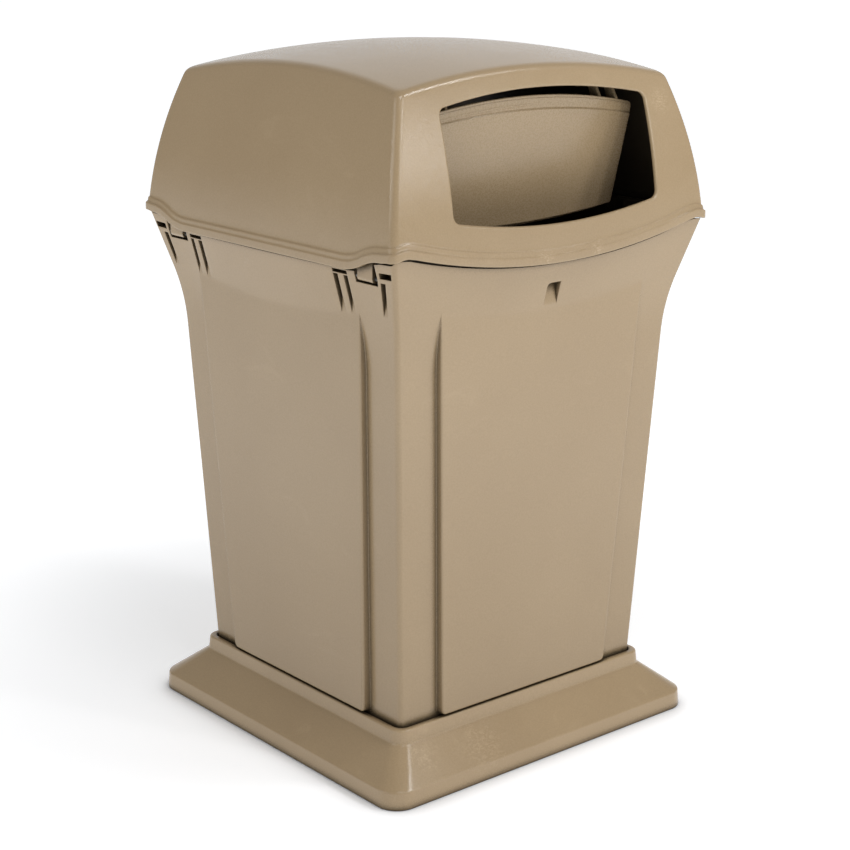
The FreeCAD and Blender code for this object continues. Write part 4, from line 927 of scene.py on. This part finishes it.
    # ears that carry the pivot pins
    r = 8.0
    out = [(-29.9, 21.0)] + [(r * math.cos(a), -r * math.sin(a)) for a in np.radians(np.linspace(135, -75, 22))] + [(-29.9, 50.0)]
    out = np.array(out)
    mid = out.mean(0)
    for x0 in (150.5, 183.5, -155.5, -188.5):
        rows_e = []
        for dx, ins in ((0.0, 0.8), (0.25, 0.3), (0.8, 0.0), (4.2, 0.0), (4.75, 0.3), (5.0, 0.8)):
            P = out.copy()
            vec = P - mid
            P[1:-1] = P[1:-1] - vec[1:-1] / np.linalg.norm(vec[1:-1], axis=1)[:, None] * ins
            rows_e.append(world(np.full(len(P), x0 + dx), P[:, 0], P[:, 1]))
        kk = sk.grid(np.array(rows_e), closed=True)
        sk.cap(list(kk[0])[::-1])
        sk.cap(list(kk[-1]))
    return sk.build(name, [M_DOOR])


# ------------------------------------------------------------------ pieces on their bodies
def settle(ob, body, nodes):
    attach(ob, body)
    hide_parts(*nodes)


settle(make_pedestal(), "container", ["pedestal_base"])
settle(make_body(), "container", ["container_shell"])
settle(make_hood(), "hood", ["hood_shell"])
settle(make_door("front_door_skin", 1), "front_door", ["front_door_panel"])
settle(make_door("rear_door_skin", -1), "rear_door", ["rear_door_panel"])

for name, ob in frame["nodes"].items():
    if "screw" in name or "bolt" in name or "washer" in name or "nut" in name or "pin" in name or "clip" in name:
        mat = M_ZINC
    elif "bush" in name:
        mat = M_BUSH
    elif "bracket" in name:
        mat = M_BRACKET
    else:
        mat = M_HOOD
    if not ob.material_slots:
        ob.data.materials.append(mat)
    for s in ob.material_slots:
        s.material = mat

# ------------------------------------------------------------------ floor, light and camera
fm = bpy.data.materials.new("floor_white")
fm.use_nodes = True
fnt = fm.node_tree
fb = fnt.nodes["Principled BSDF"]
fb.inputs["Roughness"].default_value = 0.9
fb.inputs["Specular IOR Level"].default_value = 0.1
fb.inputs["Emission Color"].default_value = (0.97, 0.985, 1.0, 1.0)
fn = noise(fnt, node(fnt, "ShaderNodeTexCoord").outputs["Object"], 0.8, 2.0)
fnt.links.new(mixed(fnt, "MIX", fn.outputs["Fac"], (0.86, 0.865, 0.88), (0.875, 0.88, 0.895)), fb.inputs["Base Color"])
away = node(fnt, "ShaderNodeVectorMath", operation="LENGTH")
fnt.links.new(node(fnt, "ShaderNodeTexCoord").outputs["Object"], away.inputs[0])
far = ramp_of(fnt, away.outputs["Value"], 0.45, 1.5)
lit = maths(fnt, "ADD", maths(fnt, "MULTIPLY", far, 0.36), 0.43)
# contact shade close to the foot
near = node(fnt, "ShaderNodeAmbientOcclusion", samples=8)
near.inputs["Distance"].default_value = 0.06
shade = maths(fnt, "ADD", maths(fnt, "MULTIPLY", ramp_of(fnt, near.outputs["AO"], 0.55, 0.97), 0.85), 0.15)
fnt.links.new(maths(fnt, "MULTIPLY", lit, shade), fb.inputs["Emission Strength"])
me = bpy.data.meshes.new("floor")
me.from_pydata([(-60, -60, 0), (60, -60, 0), (60, 60, 0), (-60, 60, 0)], [], [(0, 1, 2, 3)])
me.materials.append(fm)
floor = bpy.data.objects.new("floor", me)
scene.collection.objects.link(floor)
floor.location.z = -0.0004

world = bpy.data.worlds.new("studio")
scene.world = world
world.use_nodes = True
wnt = world.node_tree
bg = wnt.nodes["Background"]
wdir = node(wnt, "ShaderNodeTexCoord").outputs["Generated"]


def glow(direction, a, b):
    """How far a direction of the studio faces the given one, from 0 to 1."""
    d = node(wnt, "ShaderNodeVectorMath", operation="DOT_PRODUCT")
    wnt.links.new(wdir, d.inputs[0])
    d.inputs[1].default_value = Vector(direction).normalized()
    return ramp_of(wnt, d.outputs["Value"], a, b)


lift_back = maths(wnt, "MULTIPLY", glow((0.55, 0.80, 0.22), 0.62, 0.95), 0.58)
level = maths(wnt, "ADD", lift_back, 0.24)
wnt.links.new(level, bg.inputs["Strength"])
bg.inputs["Color"].default_value = (1.0, 1.0, 1.0, 1.0)


def lamp(name, at, aim, size, watts, colour=(1, 1, 1)):
    d = bpy.data.lights.new(name, "AREA")
    d.shape = "RECTANGLE"
    d.size, d.size_y = size
    d.energy = watts
    d.color = colour
    o = bpy.data.objects.new(name, d)
    scene.collection.objects.link(o)
    o.location = at
    o.rotation_euler = (Vector(aim) - Vector(at)).to_track_quat("-Z", "Y").to_euler()
    return o


lamp("key", (0.35, -2.95, 2.45), (0.0, -0.25, 0.8), (1.5, 1.3), 17.0)
lamp("strip", (0.72, -2.8, 2.0), (-0.25, -0.3, 0.85), (0.17, 1.5), 10.0)
lamp("gloss", (1.55, -2.45, 1.75), (-0.2, -0.28, 0.95), (0.5, 0.8), 8.5)
lamp("left", (-2.85, 0.1, 2.3), (-0.25, 0.0, 0.8), (1.5, 1.5), 14.0)
lamp("top", (-0.5, -1.6, 3.4), (0.0, 0.0, 0.3), (1.0, 1.0), 18.0)
lamp("side", (1.08, -1.42, 2.6), (-0.28, -0.3, 0.05), (0.42, 0.42), 12.0)
lamp("kick", (-2.9, 1.0, 1.5), (-0.3, -0.3, 0.85), (0.2, 0.9), 6.0)

cam = bpy.data.cameras.new("view")
cam.sensor_fit = "HORIZONTAL"
cam.sensor_width = 36.0
cam.lens = 1879.0 / 850.0 * 36.0
cam.shift_x = (425.0 - 421.6) / 850.0
cam.shift_y = (388.2 - 425.0) / 850.0
cam.clip_end = 200.0
camera = bpy.data.objects.new("view", cam)
scene.collection.objects.link(camera)
az, el, roll = math.radians(-39.98), math.radians(14.34), math.radians(0.16)
back = Vector((math.sin(az) * math.cos(el), -math.cos(az) * math.cos(el), math.sin(el)))
right = Vector((math.cos(az), math.sin(az), 0.0))
up = back.cross(right)
r2 = right * math.cos(roll) + up * math.sin(roll)
u2 = up * math.cos(roll) - right * math.sin(roll)
rot = Matrix((r2, u2, back)).transposed().to_4x4()
camera.matrix_world = Matrix.Translation(Vector((0, 0, 0.530)) + back * 3.0337) @ rot
scene.camera = camera
scene.view_settings.view_transform = "Standard"
scene.view_settings.look = "None"
scene.view_settings.exposure = 0.0
